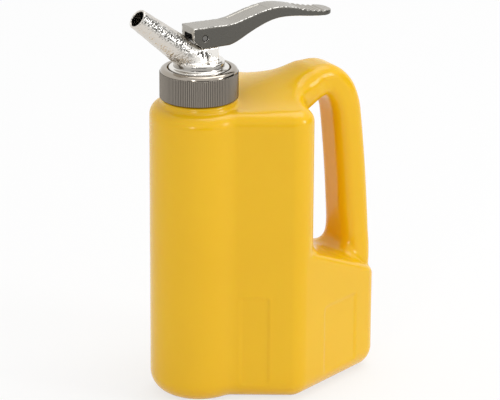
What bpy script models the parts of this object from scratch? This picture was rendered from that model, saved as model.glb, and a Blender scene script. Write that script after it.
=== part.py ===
# One-litre plastic can with a self-closing metal tap.
# The can stands on its base at z = 0, and the neck axis is the Z axis.
# The spout points to -X and the handle is at +X. Sizes are in millimetres until MM scales them.
import math

import bmesh
import bpy
from mathutils import Vector

MM = 0.001
GAP = 0.3

# can: plan of the body, seen from above
CAN_HEIGHT = 192.5
CAN_WALL = 2.0
FRONT_R = 31.0
CREASE_ANGLE = 12.0
FLANK_ANGLE = 30.5
FLANK_HALF_WIDTH = 52.5
FLANK_CORNER_R = 14.0
REAR_WALL_ANGLE = 15.0
REAR_NOSE_R = 22.0
BASE_FILLET = 14.0
SHOULDER_FILLET = 9.5

# can: tail below the handle
TAIL_X = 119.0
TAIL_HALF_WIDTH = 22.5
TAIL_CORNER_R = 14.0
SHELF_Z = 93.5
SHELF_X = 62.0
SHELF_SLOPE = 0.46
SHELF_FILLET = 4.0
TAIL_TUCK = 0.3
TAIL_ROOT = 12.0

# can: hollow handle, one row per station along its centre line
# centre x, centre z, direction angle in degrees, half thickness, half width, corner radius
# the heights of the first rows are below the can's top, those of the others above the shelf's front
HANDLE_UPPER = (
    (12.0, -17.5, 10.0, 14.0, 30.0, 12.5),
    (32.0, -10.7, 9.0, 14.0, 28.0, 12.5),
    (50.0, -7.3, 14.0, 13.2, 23.0, 11.5),
    (65.0, -2.1, 22.0, 11.6, 18.0, 9.8),
    (77.5, 2.8, 13.0, 10.6, 15.4, 8.6),
    (88.5, 2.7, -20.0, 10.0, 14.6, 8.0),
    (97.3, -3.9, -50.0, 10.0, 14.5, 8.0),
    (102.2, -14.5, -74.0, 10.0, 14.5, 8.0),
    (104.3, -27.5, -82.0, 10.0, 14.5, 8.0),
)
HANDLE_LOWER = (
    (107.3, 41.5, -84.5, 10.1, 14.5, 8.0),
    (109.3, 13.5, -86.0, 10.1, 14.7, 8.0),
    (110.0, -1.5, -89.0, 9.8, 15.6, 8.0),
    (109.6, -13.5, -91.0, 10.0, 17.8, 8.4),
    (107.8, -25.5, -94.0, 10.8, 19.5, 9.4),
    (104.4, -38.5, -97.0, 11.0, 19.5, 9.4),
)
HANDLE_SMOOTHING = 2

# can: neck with a rounded outside thread
NECK_R = 20.9
NECK_BORE_R = 17.5
NECK_TOP = CAN_HEIGHT + 13.5
COLLAR_R = 23.4
COLLAR_TOP = CAN_HEIGHT + 1.9
COLLAR_EDGE = 0.6
NECK_SINK = 3.0
BORE_DEPTH = 25.5
THREAD_PITCH = 4.0
THREAD_RIB_R = 1.0
THREAD_SINK = 0.2
THREAD_START = NECK_TOP - 8.8
NECK_THREAD_TURNS = 1.75

# can: shallow moulded panels
LABEL_LONG = 57.0
LABEL_WIDE = 17.0
LABEL_DISTANCE = 14.5
LABEL_Z = 41.0
PANEL_DEPTH = 0.7
TAIL_PANEL_LONG = 44.0
TAIL_PANEL_WIDE = 32.0
TAIL_PANEL_DISTANCE = 26.0
TAIL_PANEL_Z = 34.0

# union nut
NUT_R = 24.6
NUT_BOTTOM = NECK_TOP - 11.0
KNURL_TOP = NECK_TOP + 6.1
KNURL_DEPTH = 0.45
KNURL_TEETH = 128
NUT_BORE_R = 22.5
NUT_LIP_R = 19.9
NUT_TOP = NECK_TOP + 8.6
NUT_THREAD_TURNS = 1.5

# seal, tap flange and slip ring
SEAL_T = 1.0
FLANGE_R = 21.1
FLANGE_T = 4.0
SLIP_RING_T = 0.5
STEP_R = 19.6
STEP_TOP = NECK_TOP + 9.1
BOSS_R = 16.0
BOSS_TOP = NECK_TOP + 13.5
SPIGOT_R = 16.6
SPIGOT_BOTTOM = NECK_TOP - 13.0
SPIGOT_EDGE = 0.6

# valve chamber inside the tap
SEAT_POCKET_R = 12.0
SEAT_POCKET_TOP = NECK_TOP - 3.8
CHAMBER_R = 10.5
CHAMBER_TOP = NECK_TOP + 11.5
STEM_R = 2.5
STEM_HOLE_R = 3.0
GUIDE_R = 4.2
GUIDE_BOTTOM = NECK_TOP + 17.0
BUSH_STAND = 1.2

# spout
SPOUT_ANGLE = 38.6
SPOUT_AXIS_Z = NECK_TOP + 10.7
SPOUT_LENGTH = 55.5
SPOUT_TIP_R = 6.45
SPOUT_BASE_R = 8.7
SPOUT_BASE_AT = 19.0
SPOUT_BORE_R = 5.2
SPOUT_BORE_LENGTH = 38.0
PORT_R = 3.8
PORT_OFFSET = 1.6
PORT_END = 4.0

# pedestal that the lever rocks on
PEDESTAL_X = 10.2
PEDESTAL_FRONT = 9.0
PEDESTAL_HALF_WIDTH = 7.4
PEDESTAL_TOP = NECK_TOP + 21.6
PEDESTAL_STEP = NECK_TOP + 14.4
PEDESTAL_UNDERCUT = 0.7
PEDESTAL_CHAMFER = 1.0

# lever: side outline, as top line and underside from front to tip, with heights above the pin
PIN_Z = PEDESTAL_TOP + 7.0
LEVER_HALF_WIDTH = 8.3
LEVER_TOP_LINE = (
    (-7.7, 6.9), (17.0, 6.4), (22.0, 6.9), (29.0, 8.7), (38.0, 11.0), (46.0, 12.5),
    (53.0, 12.9), (60.0, 12.0), (68.0, 10.1), (77.0, 7.8), (85.0, 6.4), (94.5, 5.6),
)
LEVER_UNDER_LINE = (
    (94.5, 3.1), (86.0, 2.9), (76.0, 3.9), (66.0, 5.3), (57.0, 6.0), (50.0, 5.6),
    (43.5, 4.0), (36.0, 1.2), (29.5, -1.8), (22.5, -5.2), (17.4, -6.7), (-1.4, -6.7),
    (-7.7, -1.3),
)
LEVER_TIP_X = 94.5
LEVER_TIP_R = 7.0
CHANNEL_HALF_WIDTH = 4.6
CHANNEL_TOP = 4.3
CHANNEL_LIP = 2.2
CHANNEL_LIP_Z = 1.5
CHANNEL_WEB = 2.6
CHANNEL_REAR = 52.0
LEVER_LABEL_FROM = 22.0
LEVER_LABEL_TO = 46.0
LEVER_LABEL_HALF_WIDTH = 5.2
LEVER_LABEL_DEPTH = 0.4
SERRATION_FROM = 75.0
SERRATION_COUNT = 7
SERRATION_PITCH = 2.0
SERRATION_R = 0.7
SERRATION_SINK = 0.35

# stem, pin and valve disc
PIN_R = 1.6
PIN_HOLE_R = 1.7
PIN_HALF_LENGTH = 7.6
HEAD_R = 3.4
HEAD_HALF_WIDTH = 4.2
HEAD_BOTTOM = PIN_Z - 4.1
SEAT_BOTTOM = SPIGOT_BOTTOM + 3.6
SEAT_SHOULDER = 2.2
SEAT_LIP_TOP = SEAT_POCKET_TOP + 2.0
SEAT_LIP_WIDTH = 1.2
SEAT_BORE_R = 6.0
SEAT_RING_R = 0.8
DISC_R = 9.2
DISC_SEAL_T = 2.0
DISC_T = 2.5
STEM_THREAD_R = 2.0
DISC_NUT_R = 4.4
DISC_NUT_T = 3.2
SPRING_MEAN_R = 6.0
SPRING_WIRE_R = 0.5
SPRING_TURNS = 4.0
O_RING_R = 0.55

# perforated arrester sleeve under the valve seat
SCREEN_R = 9.0
SCREEN_WALL = 0.6
SCREEN_LENGTH = 24.0
SCREEN_HOLES = 6
SCREEN_ROWS = 3
SCREEN_HOLE_R = 1.5
SCREEN_FLANGE_R = 11.4
SCREEN_FLANGE_T = 0.8
SNAP_RING_R = 12.4
SNAP_RING_BORE_R = 10.6
SNAP_RING_T = 1.0

# facets round a turned piece, and how far a cutter runs past the face that it cuts
ROUND_STEPS = 48
FINE_STEPS = 32
SMALL_STEPS = 24
PAST = 5.0


def clear_scene():
    for old in list(bpy.data.objects):
        bpy.data.objects.remove(old, do_unlink=True)


def new_collection(name):
    group = bpy.data.collections.new(name)
    bpy.context.scene.collection.children.link(group)
    return group


def make_material(name, colour, roughness, metallic):
    material = bpy.data.materials.new(name)
    material.use_nodes = True
    shader = material.node_tree.nodes["Principled BSDF"]
    shader.inputs["Base Color"].default_value = (*colour, 1.0)
    shader.inputs["Roughness"].default_value = roughness
    shader.inputs["Metallic"].default_value = metallic
    return material


clear_scene()
PART = new_collection("plastic_can_with_tap")
CUTTERS = new_collection("cutters")

YELLOW = make_material("yellow_polyethylene", (0.83, 0.45, 0.02), 0.42, 0.0)
NICKEL = make_material("polished_nickel", (0.70, 0.66, 0.60), 0.18, 1.0)
CAST_NICKEL = make_material("cast_nickel", (0.66, 0.63, 0.58), 0.30, 1.0)
GREY_NICKEL = make_material("satin_nickel", (0.42, 0.40, 0.37), 0.40, 1.0)
BRASS = make_material("brass", (0.72, 0.52, 0.22), 0.32, 1.0)
STEEL = make_material("stainless_steel", (0.55, 0.55, 0.56), 0.30, 1.0)
RUBBER = make_material("black_rubber", (0.03, 0.03, 0.03), 0.75, 0.0)
FIBRE = make_material("white_sealing_ring", (0.75, 0.73, 0.68), 0.60, 0.0)


def add_mesh(name, mesh, material=None, cutter=False, smooth_angle=None):
    """Link a mesh as a sub-part, or as a cutter that is only a tool."""
    body = bpy.data.objects.new(name, mesh)
    if cutter:
        CUTTERS.objects.link(body)
        body.hide_render = True
        body.display_type = "WIRE"
    else:
        PART.objects.link(body)
        mesh.materials.append(material)
    if smooth_angle is not None:
        mesh.shade_smooth()
        mesh.set_sharp_from_angle(angle=math.radians(smooth_angle))
    return body


def cut(target, tool, operation="DIFFERENCE"):
    modifier = target.modifiers.new(tool.name, "BOOLEAN")
    modifier.operation = operation
    modifier.object = tool
    modifier.solver = "EXACT"
    return modifier


def cut_all(target, name, tools, operation="DIFFERENCE"):
    """Cut or join several tools in one step, through a collection of their own."""
    group = bpy.data.collections.new(name)
    CUTTERS.children.link(group)
    for tool in tools:
        group.objects.link(tool)
    modifier = target.modifiers.new(name, "BOOLEAN")
    modifier.operation = operation
    modifier.operand_type = "COLLECTION"
    modifier.collection = group
    modifier.solver = "EXACT"


def turned(name, profile, material=None, steps=ROUND_STEPS, cutter=False, closed=False):
    """Turn a profile of (radius, z) about the Z axis. It runs down its outer side."""
    mesh = bpy.data.meshes.new(name)
    points = [(r * MM, 0.0, z * MM) for r, z in profile]
    edges = [(i, i + 1) for i in range(len(points) - 1)]
    if closed:
        edges.append((len(points) - 1, 0))
    mesh.from_pydata(points, edges, [])
    body = add_mesh(name, mesh, material, cutter)
    screw = body.modifiers.new("turn", "SCREW")
    screw.axis = "Z"
    screw.steps = steps
    screw.render_steps = steps
    screw.use_merge_vertices = True
    screw.merge_threshold = 0.000001
    screw.use_smooth_shade = True
    return body


def ring(name, inner, outer, bottom, top, material, steps=ROUND_STEPS, edge=0.2):
    """A flat ring with small chamfers on its outer edges, or a plain one for edge 0."""
    profile = [(inner, top), (outer - edge, top)]
    if edge > 0.0:
        profile += [(outer, top - edge), (outer, bottom + edge)]
    profile += [(outer - edge, bottom), (inner, bottom)]
    return turned(name, profile, material, steps, closed=True)


def o_ring(name, major, minor, z, material):
    """A round-section rubber ring, from a torus primitive."""
    bpy.ops.mesh.primitive_torus_add(
        major_radius=major * MM, minor_radius=minor * MM,
        major_segments=SMALL_STEPS, minor_segments=8,
    )
    made = bpy.context.object
    mesh = made.data.copy()
    bpy.data.objects.remove(made, do_unlink=True)
    mesh.name = name
    body = add_mesh(name, mesh, material)
    body.location = (0.0, 0.0, z * MM)
    mesh.shade_smooth()
    return body


def rod(name, radius, start, end, material=None, cutter=False, sides=FINE_STEPS):
    """A cylinder primitive between two points given in millimetres."""
    a = Vector(start) * MM
    b = Vector(end) * MM
    grid = bmesh.new()
    bmesh.ops.create_cone(
        grid, cap_ends=True, segments=sides, radius1=radius * MM, radius2=radius * MM,
        depth=(b - a).length,
    )
    mesh = bpy.data.meshes.new(name)
    grid.to_mesh(mesh)
    grid.free()
    body = add_mesh(name, mesh, material, cutter)
    body.rotation_mode = "QUATERNION"
    body.rotation_quaternion = (b - a).to_track_quat("Z", "Y")
    body.location = (a + b) / 2.0
    return body


def bore(name, radius, bottom, top, sides=FINE_STEPS):
    """A cutter on the Z axis."""
    return rod(name, radius, (0.0, 0.0, bottom), (0.0, 0.0, top), None, True, sides)


def cross_bore(name, radius, x, z, sides=FINE_STEPS):
    """A cutter along Y, wider than the lever."""
    reach = LEVER_HALF_WIDTH + PAST
    return rod(name, radius, (x, -reach, z), (x, reach, z), None, True, sides)


def block(name, low, high, material=None, cutter=False):
    """A box primitive between two corners given in millimetres."""
    grid = bmesh.new()
    bmesh.ops.create_cube(grid, size=1.0)
    size = [(h - l) * MM for l, h in zip(low, high)]
    centre = [(h + l) / 2.0 * MM for l, h in zip(low, high)]
    for vertex in grid.verts:
        vertex.co = Vector([v * s + c for v, s, c in zip(vertex.co, size, centre)])
    mesh = bpy.data.meshes.new(name)
    grid.to_mesh(mesh)
    grid.free()
    return add_mesh(name, mesh, material, cutter)


def curve_mesh(name, curve_object):
    """Bake a curve to a welded mesh, so that it can be cut or joined."""
    graph = bpy.context.evaluated_depsgraph_get()
    mesh = bpy.data.meshes.new_from_object(curve_object.evaluated_get(graph))
    mesh.name = name
    mesh.transform(curve_object.matrix_world)
    bpy.data.objects.remove(curve_object, do_unlink=True)
    grid = bmesh.new()
    grid.from_mesh(mesh)
    bmesh.ops.remove_doubles(grid, verts=grid.verts, dist=0.000001)
    bmesh.ops.recalc_face_normals(grid, faces=grid.faces)
    grid.to_mesh(mesh)
    grid.free()
    mesh.materials.clear()
    return mesh


def plate(name, outline, half_thickness, upright, material=None, cutter=False):
    """Extrude a flat outline. An upright one lies in the XZ plane, the other in XY."""
    curve = bpy.data.curves.new(name + "_outline", "CURVE")
    curve.dimensions = "2D"
    curve.fill_mode = "BOTH"
    curve.extrude = half_thickness * MM
    spline = curve.splines.new("POLY")
    spline.points.add(len(outline) - 1)
    for point, (u, v) in zip(spline.points, outline):
        point.co = (u * MM, v * MM, 0.0, 1.0)
    spline.use_cyclic_u = True
    holder = bpy.data.objects.new(name + "_outline", curve)
    CUTTERS.objects.link(holder)
    if upright:
        holder.rotation_euler = (math.radians(90.0), 0.0, 0.0)
    bpy.context.view_layer.update()
    return add_mesh(name, curve_mesh(name, holder), material, cutter)


def tube(name, points, radius, material=None, cutter=False):
    """A round wire along given points, with closed ends."""
    curve = bpy.data.curves.new(name + "_wire", "CURVE")
    curve.dimensions = "3D"
    curve.bevel_depth = radius * MM
    curve.bevel_resolution = 1
    curve.use_fill_caps = True
    spline = curve.splines.new("POLY")
    spline.points.add(len(points) - 1)
    for point, place in zip(spline.points, points):
        point.co = (*[value * MM for value in place], 1.0)
    holder = bpy.data.objects.new(name + "_wire", curve)
    CUTTERS.objects.link(holder)
    bpy.context.view_layer.update()
    return add_mesh(name, curve_mesh(name, holder), material, cutter)


def helix(radius, start_z, rise, turns, per_turn):
    """Points on a right-handed helix about the Z axis."""
    count = int(round(turns * per_turn))
    for step in range(count + 1):
        angle = math.tau * step / per_turn
        yield (
            radius * math.cos(angle), radius * math.sin(angle),
            start_z + rise * step / count,
        )


def loft(name, rings, material=None, cutter=False):
    """Join closed rings of equal count with quads, and close both ends."""
    grid = bmesh.new()
    rows = [[grid.verts.new([value * MM for value in point]) for point in row] for row in rings]
    for lower, upper in zip(rows, rows[1:]):
        for i in range(len(lower)):
            j = (i + 1) % len(lower)
            grid.faces.new((lower[i], lower[j], upper[j], upper[i]))
    grid.faces.new(rows[0])
    grid.faces.new(list(reversed(rows[-1])))
    bmesh.ops.recalc_face_normals(grid, faces=grid.faces)
    mesh = bpy.data.meshes.new(name)
    grid.to_mesh(mesh)
    grid.free()
    return add_mesh(name, mesh, material, cutter)


def unit(angle):
    return Vector((math.cos(math.radians(angle)), math.sin(math.radians(angle))))


def arc(centre, radius, start, end, steps):
    """Points on a circle, with both ends. Angles are in degrees."""
    for i in range(steps + 1):
        yield Vector(centre) + unit(start + (end - start) * i / steps) * radius


def crossing(p, u, q, v):
    """Where two lines in the plane meet, each given by a point and a direction."""
    det = v.x * u.y - u.x * v.y
    w = q - p
    return p + u * ((v.x * w.y - w.x * v.y) / det)


def mirrored(points):
    return [Vector((p.x, -p.y)) for p in reversed(points)]


def smooth_rows(rows, steps):
    """A smooth run through rows of numbers, by Catmull and Rom's rule."""
    ends = [rows[0]] + list(rows) + [rows[-1]]
    for i in range(1, len(ends) - 2):
        for step in range(steps):
            t = step / steps
            yield tuple(
                0.5 * (2.0 * b + (c - a) * t + (2.0 * a - 5.0 * b + 4.0 * c - d) * t * t
                       + (3.0 * b - a - 3.0 * c + d) * t ** 3)
                for a, b, c, d in zip(*ends[i - 1:i + 3])
            )
    yield tuple(rows[-1])


# plan of the can: the near half is at -Y, and the far half mirrors it
CREASE = unit(CREASE_ANGLE - 90.0) * FRONT_R
FLANK_DIR = unit(-FLANK_ANGLE)
FLANK_OUT = unit(-FLANK_ANGLE - 90.0)
SIDE_CORNER = CREASE + FLANK_DIR * (
    (FLANK_HALF_WIDTH + CREASE.y) / math.sin(math.radians(FLANK_ANGLE))
)
TAIL_CORNER = Vector((TAIL_X, -TAIL_HALF_WIDTH))
TAIL_DIR = (TAIL_CORNER - SIDE_CORNER).normalized()
TAIL_OUT = Vector((TAIL_DIR.y, -TAIL_DIR.x))
TAIL_ANGLE = math.degrees(math.atan2(TAIL_DIR.y, TAIL_DIR.x))
CORNER_CENTRE = crossing(
    CREASE - FLANK_OUT * FLANK_CORNER_R, FLANK_DIR,
    TAIL_CORNER - TAIL_OUT * FLANK_CORNER_R, TAIL_DIR,
)
REAR_OUT = unit(-REAR_WALL_ANGLE)
MIN_R = 0.6

# levels that follow from the stack on the neck rim
SEAL_BOTTOM = NECK_TOP + GAP
FLANGE_BOTTOM = SEAL_BOTTOM + SEAL_T + GAP
FLANGE_TOP = FLANGE_BOTTOM + FLANGE_T
SLIP_BOTTOM = FLANGE_TOP + GAP
LIP_UNDERSIDE = SLIP_BOTTOM + SLIP_RING_T + GAP
SEAT_TOP = SEAT_POCKET_TOP - GAP * 2.0 - SEAT_RING_R * 2.0
SEAT_R = SEAT_POCKET_R - GAP
DISC_SEAL_BOTTOM = SEAT_LIP_TOP + GAP
DISC_BOTTOM = DISC_SEAL_BOTTOM + DISC_SEAL_T + GAP
DISC_TOP = DISC_BOTTOM + DISC_T
SCREEN_TOP = SEAT_BOTTOM - GAP
SCREEN_BOTTOM = SCREEN_TOP - SCREEN_LENGTH
SNAP_RING_TOP = SCREEN_TOP - SCREEN_FLANGE_T - GAP
SPOUT_DIR = Vector((-math.cos(math.radians(SPOUT_ANGLE)), math.sin(math.radians(SPOUT_ANGLE))))
SPOUT_UP = Vector((math.sin(math.radians(SPOUT_ANGLE)), math.cos(math.radians(SPOUT_ANGLE))))


def crease_point(inset):
    """Where the flank, moved inwards, meets the front cylinder, made smaller."""
    radius = FRONT_R - inset
    base = CREASE - FLANK_OUT * inset
    along = base.dot(FLANK_DIR)
    root = math.sqrt(max(along * along - base.length_squared + radius * radius, 0.0))
    options = [base + FLANK_DIR * (-along + sign * root) for sign in (-1.0, 1.0)]
    return min(options, key=lambda point: (point - CREASE).length)


def body_plan(inset):
    """The can above the shelf: front cylinder, two flanks and a blunt rear."""
    crease = crease_point(inset)
    corner = max(FLANK_CORNER_R - inset, MIN_R)
    lean = math.cos(math.radians(REAR_WALL_ANGLE))
    rear_x = (CORNER_CENTRE.dot(REAR_OUT) + FLANK_CORNER_R) / lean
    nose_centre = Vector((rear_x - REAR_NOSE_R / lean, 0.0))
    near = [crease]
    near += arc(CORNER_CENTRE, corner, -FLANK_ANGLE - 90.0, -REAR_WALL_ANGLE, 9)
    near += arc(nose_centre, REAR_NOSE_R - inset, -REAR_WALL_ANGLE, 0.0, 3)
    far = mirrored(near)[1:]
    edge = math.degrees(math.atan2(-crease.y, crease.x))
    front = list(arc((0.0, 0.0), FRONT_R - inset, edge, 360.0 - edge, 26))[1:-1]
    return near + far + front


def tail_plan(inset):
    """The tail under the handle. Its front end is buried in the body."""
    buried = max(FLANK_CORNER_R - TAIL_TUCK - inset, MIN_R)
    corner = max(TAIL_CORNER_R - inset, MIN_R)
    centre = crossing(
        SIDE_CORNER - TAIL_OUT * TAIL_CORNER_R, TAIL_DIR,
        Vector((TAIL_X - TAIL_CORNER_R, 0.0)), Vector((0.0, 1.0)),
    )
    near = [CORNER_CENTRE + TAIL_OUT * buried]
    near += arc(centre, corner, TAIL_ANGLE - 90.0, 0.0, 7)
    root_x = CORNER_CENTRE.x - TAIL_ROOT
    front = [Vector((root_x, TAIL_ROOT)), Vector((root_x, -TAIL_ROOT))]
    return near + mirrored(near) + front


def flat_top(x):
    return CAN_HEIGHT


def shelf_height(x):
    return SHELF_Z - SHELF_SLOPE * (x - SHELF_X)


def prism_rings(plan, wall, top_height, top_fillet, base_steps, top_steps):
    """Rings of a can shape with a rolled base and a rolled top, moved in by the wall."""
    rings = []
    for step in range(base_steps + 1):
        angle = math.radians(90.0 * step / base_steps)
        inset = BASE_FILLET - (BASE_FILLET - wall) * math.sin(angle)
        height = BASE_FILLET - (BASE_FILLET - wall) * math.cos(angle)
        rings.append([(p.x, p.y, height) for p in plan(inset)])
    radius = max(top_fillet - wall, MIN_R)
    for step in range(top_steps + 1):
        angle = math.radians(90.0 * step / top_steps)
        inset = wall + radius * (1.0 - math.cos(angle))
        drop = wall + radius * (1.0 - math.sin(angle))
        rings.append([(p.x, p.y, top_height(p.x) - drop) for p in plan(inset)])
    return rings


def handle_rings(wall, smoothing):
    """Rounded rectangular sections square to the handle's centre line."""
    stations = [(row[0], CAN_HEIGHT + row[1], *row[2:]) for row in HANDLE_UPPER]
    stations += [(row[0], SHELF_Z + row[1], *row[2:]) for row in HANDLE_LOWER]
    rings = []
    for x, z, angle, thick, wide, round_r in smooth_rows(stations, smoothing):
        normal = unit(angle + 90.0)
        corner = round_r - wall
        across = wide - round_r
        deep = thick - round_r
        row = []
        for quarter, (s, t) in enumerate(((1, 1), (-1, 1), (-1, -1), (1, -1))):
            start = 90.0 * quarter
            for point in arc((s * across, t * deep), corner, start, start + 90.0, 4):
                row.append((x + normal.x * point.y, point.x, z + normal.y * point.y))
        rings.append(row)
    return rings


def moulded_panel(name, side, start, angle, long, wide, height):
    """A shallow box cutter that lies on an upright wall, on the near or far side."""
    panel = block(
        name, (0.0, -PANEL_DEPTH, -long / 2.0), (wide, PANEL_DEPTH, long / 2.0), None, True
    )
    panel.location = (start.x * MM, -side * start.y * MM, height * MM)
    panel.rotation_euler = (0.0, 0.0, math.radians(-side * angle))
    return panel


def build_can():
    body = loft(
        "can_body", prism_rings(body_plan, 0.0, flat_top, SHOULDER_FILLET, 5, 4), YELLOW
    )
    tail = loft(
        "tail_outer", prism_rings(tail_plan, 0.0, shelf_height, SHELF_FILLET, 5, 3), None, True
    )
    handle = loft("handle_outer", handle_rings(0.0, HANDLE_SMOOTHING), None, True)
    neck_edge = 0.5
    neck = turned(
        "neck_outer",
        [(0.0, NECK_TOP), (NECK_R - neck_edge, NECK_TOP), (NECK_R, NECK_TOP - neck_edge),
         (NECK_R, COLLAR_TOP), (COLLAR_R - COLLAR_EDGE, COLLAR_TOP),
         (COLLAR_R, COLLAR_TOP - COLLAR_EDGE), (COLLAR_R, CAN_HEIGHT - NECK_SINK),
         (0.0, CAN_HEIGHT - NECK_SINK)],
        None, cutter=True,
    )
    rise = THREAD_PITCH * NECK_THREAD_TURNS
    thread = tube(
        "neck_thread",
        list(helix(NECK_R + THREAD_SINK, THREAD_START, rise, NECK_THREAD_TURNS, SMALL_STEPS)),
        THREAD_RIB_R, None, True,
    )
    cut_all(body, "outer_shapes", (tail, handle, neck, thread), "UNION")

    inner = loft(
        "inside_body", prism_rings(body_plan, CAN_WALL, flat_top, SHOULDER_FILLET, 3, 2),
        None, True,
    )
    inner_tail = loft(
        "inside_tail", prism_rings(tail_plan, CAN_WALL, shelf_height, SHELF_FILLET, 3, 2),
        None, True,
    )
    inner_handle = loft("inside_handle", handle_rings(CAN_WALL, 1), None, True)
    neck_bore = bore(
        "neck_bore", NECK_BORE_R, NECK_TOP - BORE_DEPTH, NECK_TOP + PAST, ROUND_STEPS
    )
    hollows = [inner, inner_tail, inner_handle, neck_bore]
    label_start = CREASE + FLANK_DIR * (LABEL_DISTANCE - LABEL_WIDE / 2.0)
    tail_start = SIDE_CORNER + TAIL_DIR * TAIL_PANEL_DISTANCE
    for side, place in ((-1.0, "near"), (1.0, "far")):
        hollows.append(moulded_panel(
            "label_panel_" + place, side, label_start, -FLANK_ANGLE,
            LABEL_LONG, LABEL_WIDE, LABEL_Z,
        ))
        hollows.append(moulded_panel(
            "tail_panel_" + place, side, tail_start, TAIL_ANGLE,
            TAIL_PANEL_LONG, TAIL_PANEL_WIDE, TAIL_PANEL_Z,
        ))
    cut_all(body, "hollows", hollows)
    body.data.shade_smooth()
    body.data.set_sharp_from_angle(angle=math.radians(35.0))


def spout_point(along, above=0.0):
    """A point in the XZ plane, measured along the spout's axis and square to it."""
    place = Vector((0.0, SPOUT_AXIS_Z)) + SPOUT_DIR * along + SPOUT_UP * above
    return (place.x, 0.0, place.y)


def build_seal():
    ring("neck_seal", NECK_BORE_R - 0.4, NECK_R - 0.1, SEAL_BOTTOM, SEAL_BOTTOM + SEAL_T, FIBRE,
         FINE_STEPS, 0.0)


def build_nut():
    lip_r = NUT_LIP_R
    core_r = NUT_R - 0.5
    edge = 0.5
    profile = [
        (lip_r, NUT_TOP - 0.4), (lip_r + 0.4, NUT_TOP), (lip_r + 1.4, NUT_TOP),
        (lip_r + 2.7, NUT_TOP - 0.35), (lip_r + 3.7, NUT_TOP - 1.1),
        (core_r, KNURL_TOP + 0.6), (core_r, NUT_BOTTOM + edge), (core_r - edge, NUT_BOTTOM),
        (NUT_BORE_R + edge, NUT_BOTTOM), (NUT_BORE_R, NUT_BOTTOM + edge),
        (NUT_BORE_R, LIP_UNDERSIDE), (lip_r, LIP_UNDERSIDE),
    ]
    nut = turned("cap_nut", profile, NICKEL, closed=True)
    teeth = []
    for i in range(KNURL_TEETH * 2):
        radius = NUT_R - KNURL_DEPTH * (i % 2)
        teeth.append(unit(180.0 * i / KNURL_TEETH) * radius)
    levels = (NUT_BOTTOM + edge, KNURL_TOP)
    band = loft("knurl_band", [[(p.x, p.y, z) for p in teeth] for z in levels], None, True)
    inside = bore("knurl_hollow", core_r - 0.7, NUT_BOTTOM - PAST, NUT_TOP + PAST, ROUND_STEPS)
    cut(band, inside)
    cut(nut, band, "UNION")
    rise = THREAD_PITCH * NUT_THREAD_TURNS
    start = THREAD_START + THREAD_PITCH / 2.0
    thread = tube(
        "nut_thread",
        list(helix(NUT_BORE_R - THREAD_SINK, start, rise, NUT_THREAD_TURNS, SMALL_STEPS)),
        THREAD_RIB_R, None, True,
    )
    cut(nut, thread, "UNION")


def build_slip_ring():
    ring("slip_ring", NUT_LIP_R, FLANGE_R, SLIP_BOTTOM, SLIP_BOTTOM + SLIP_RING_T, BRASS,
         FINE_STEPS, 0.0)


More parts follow.
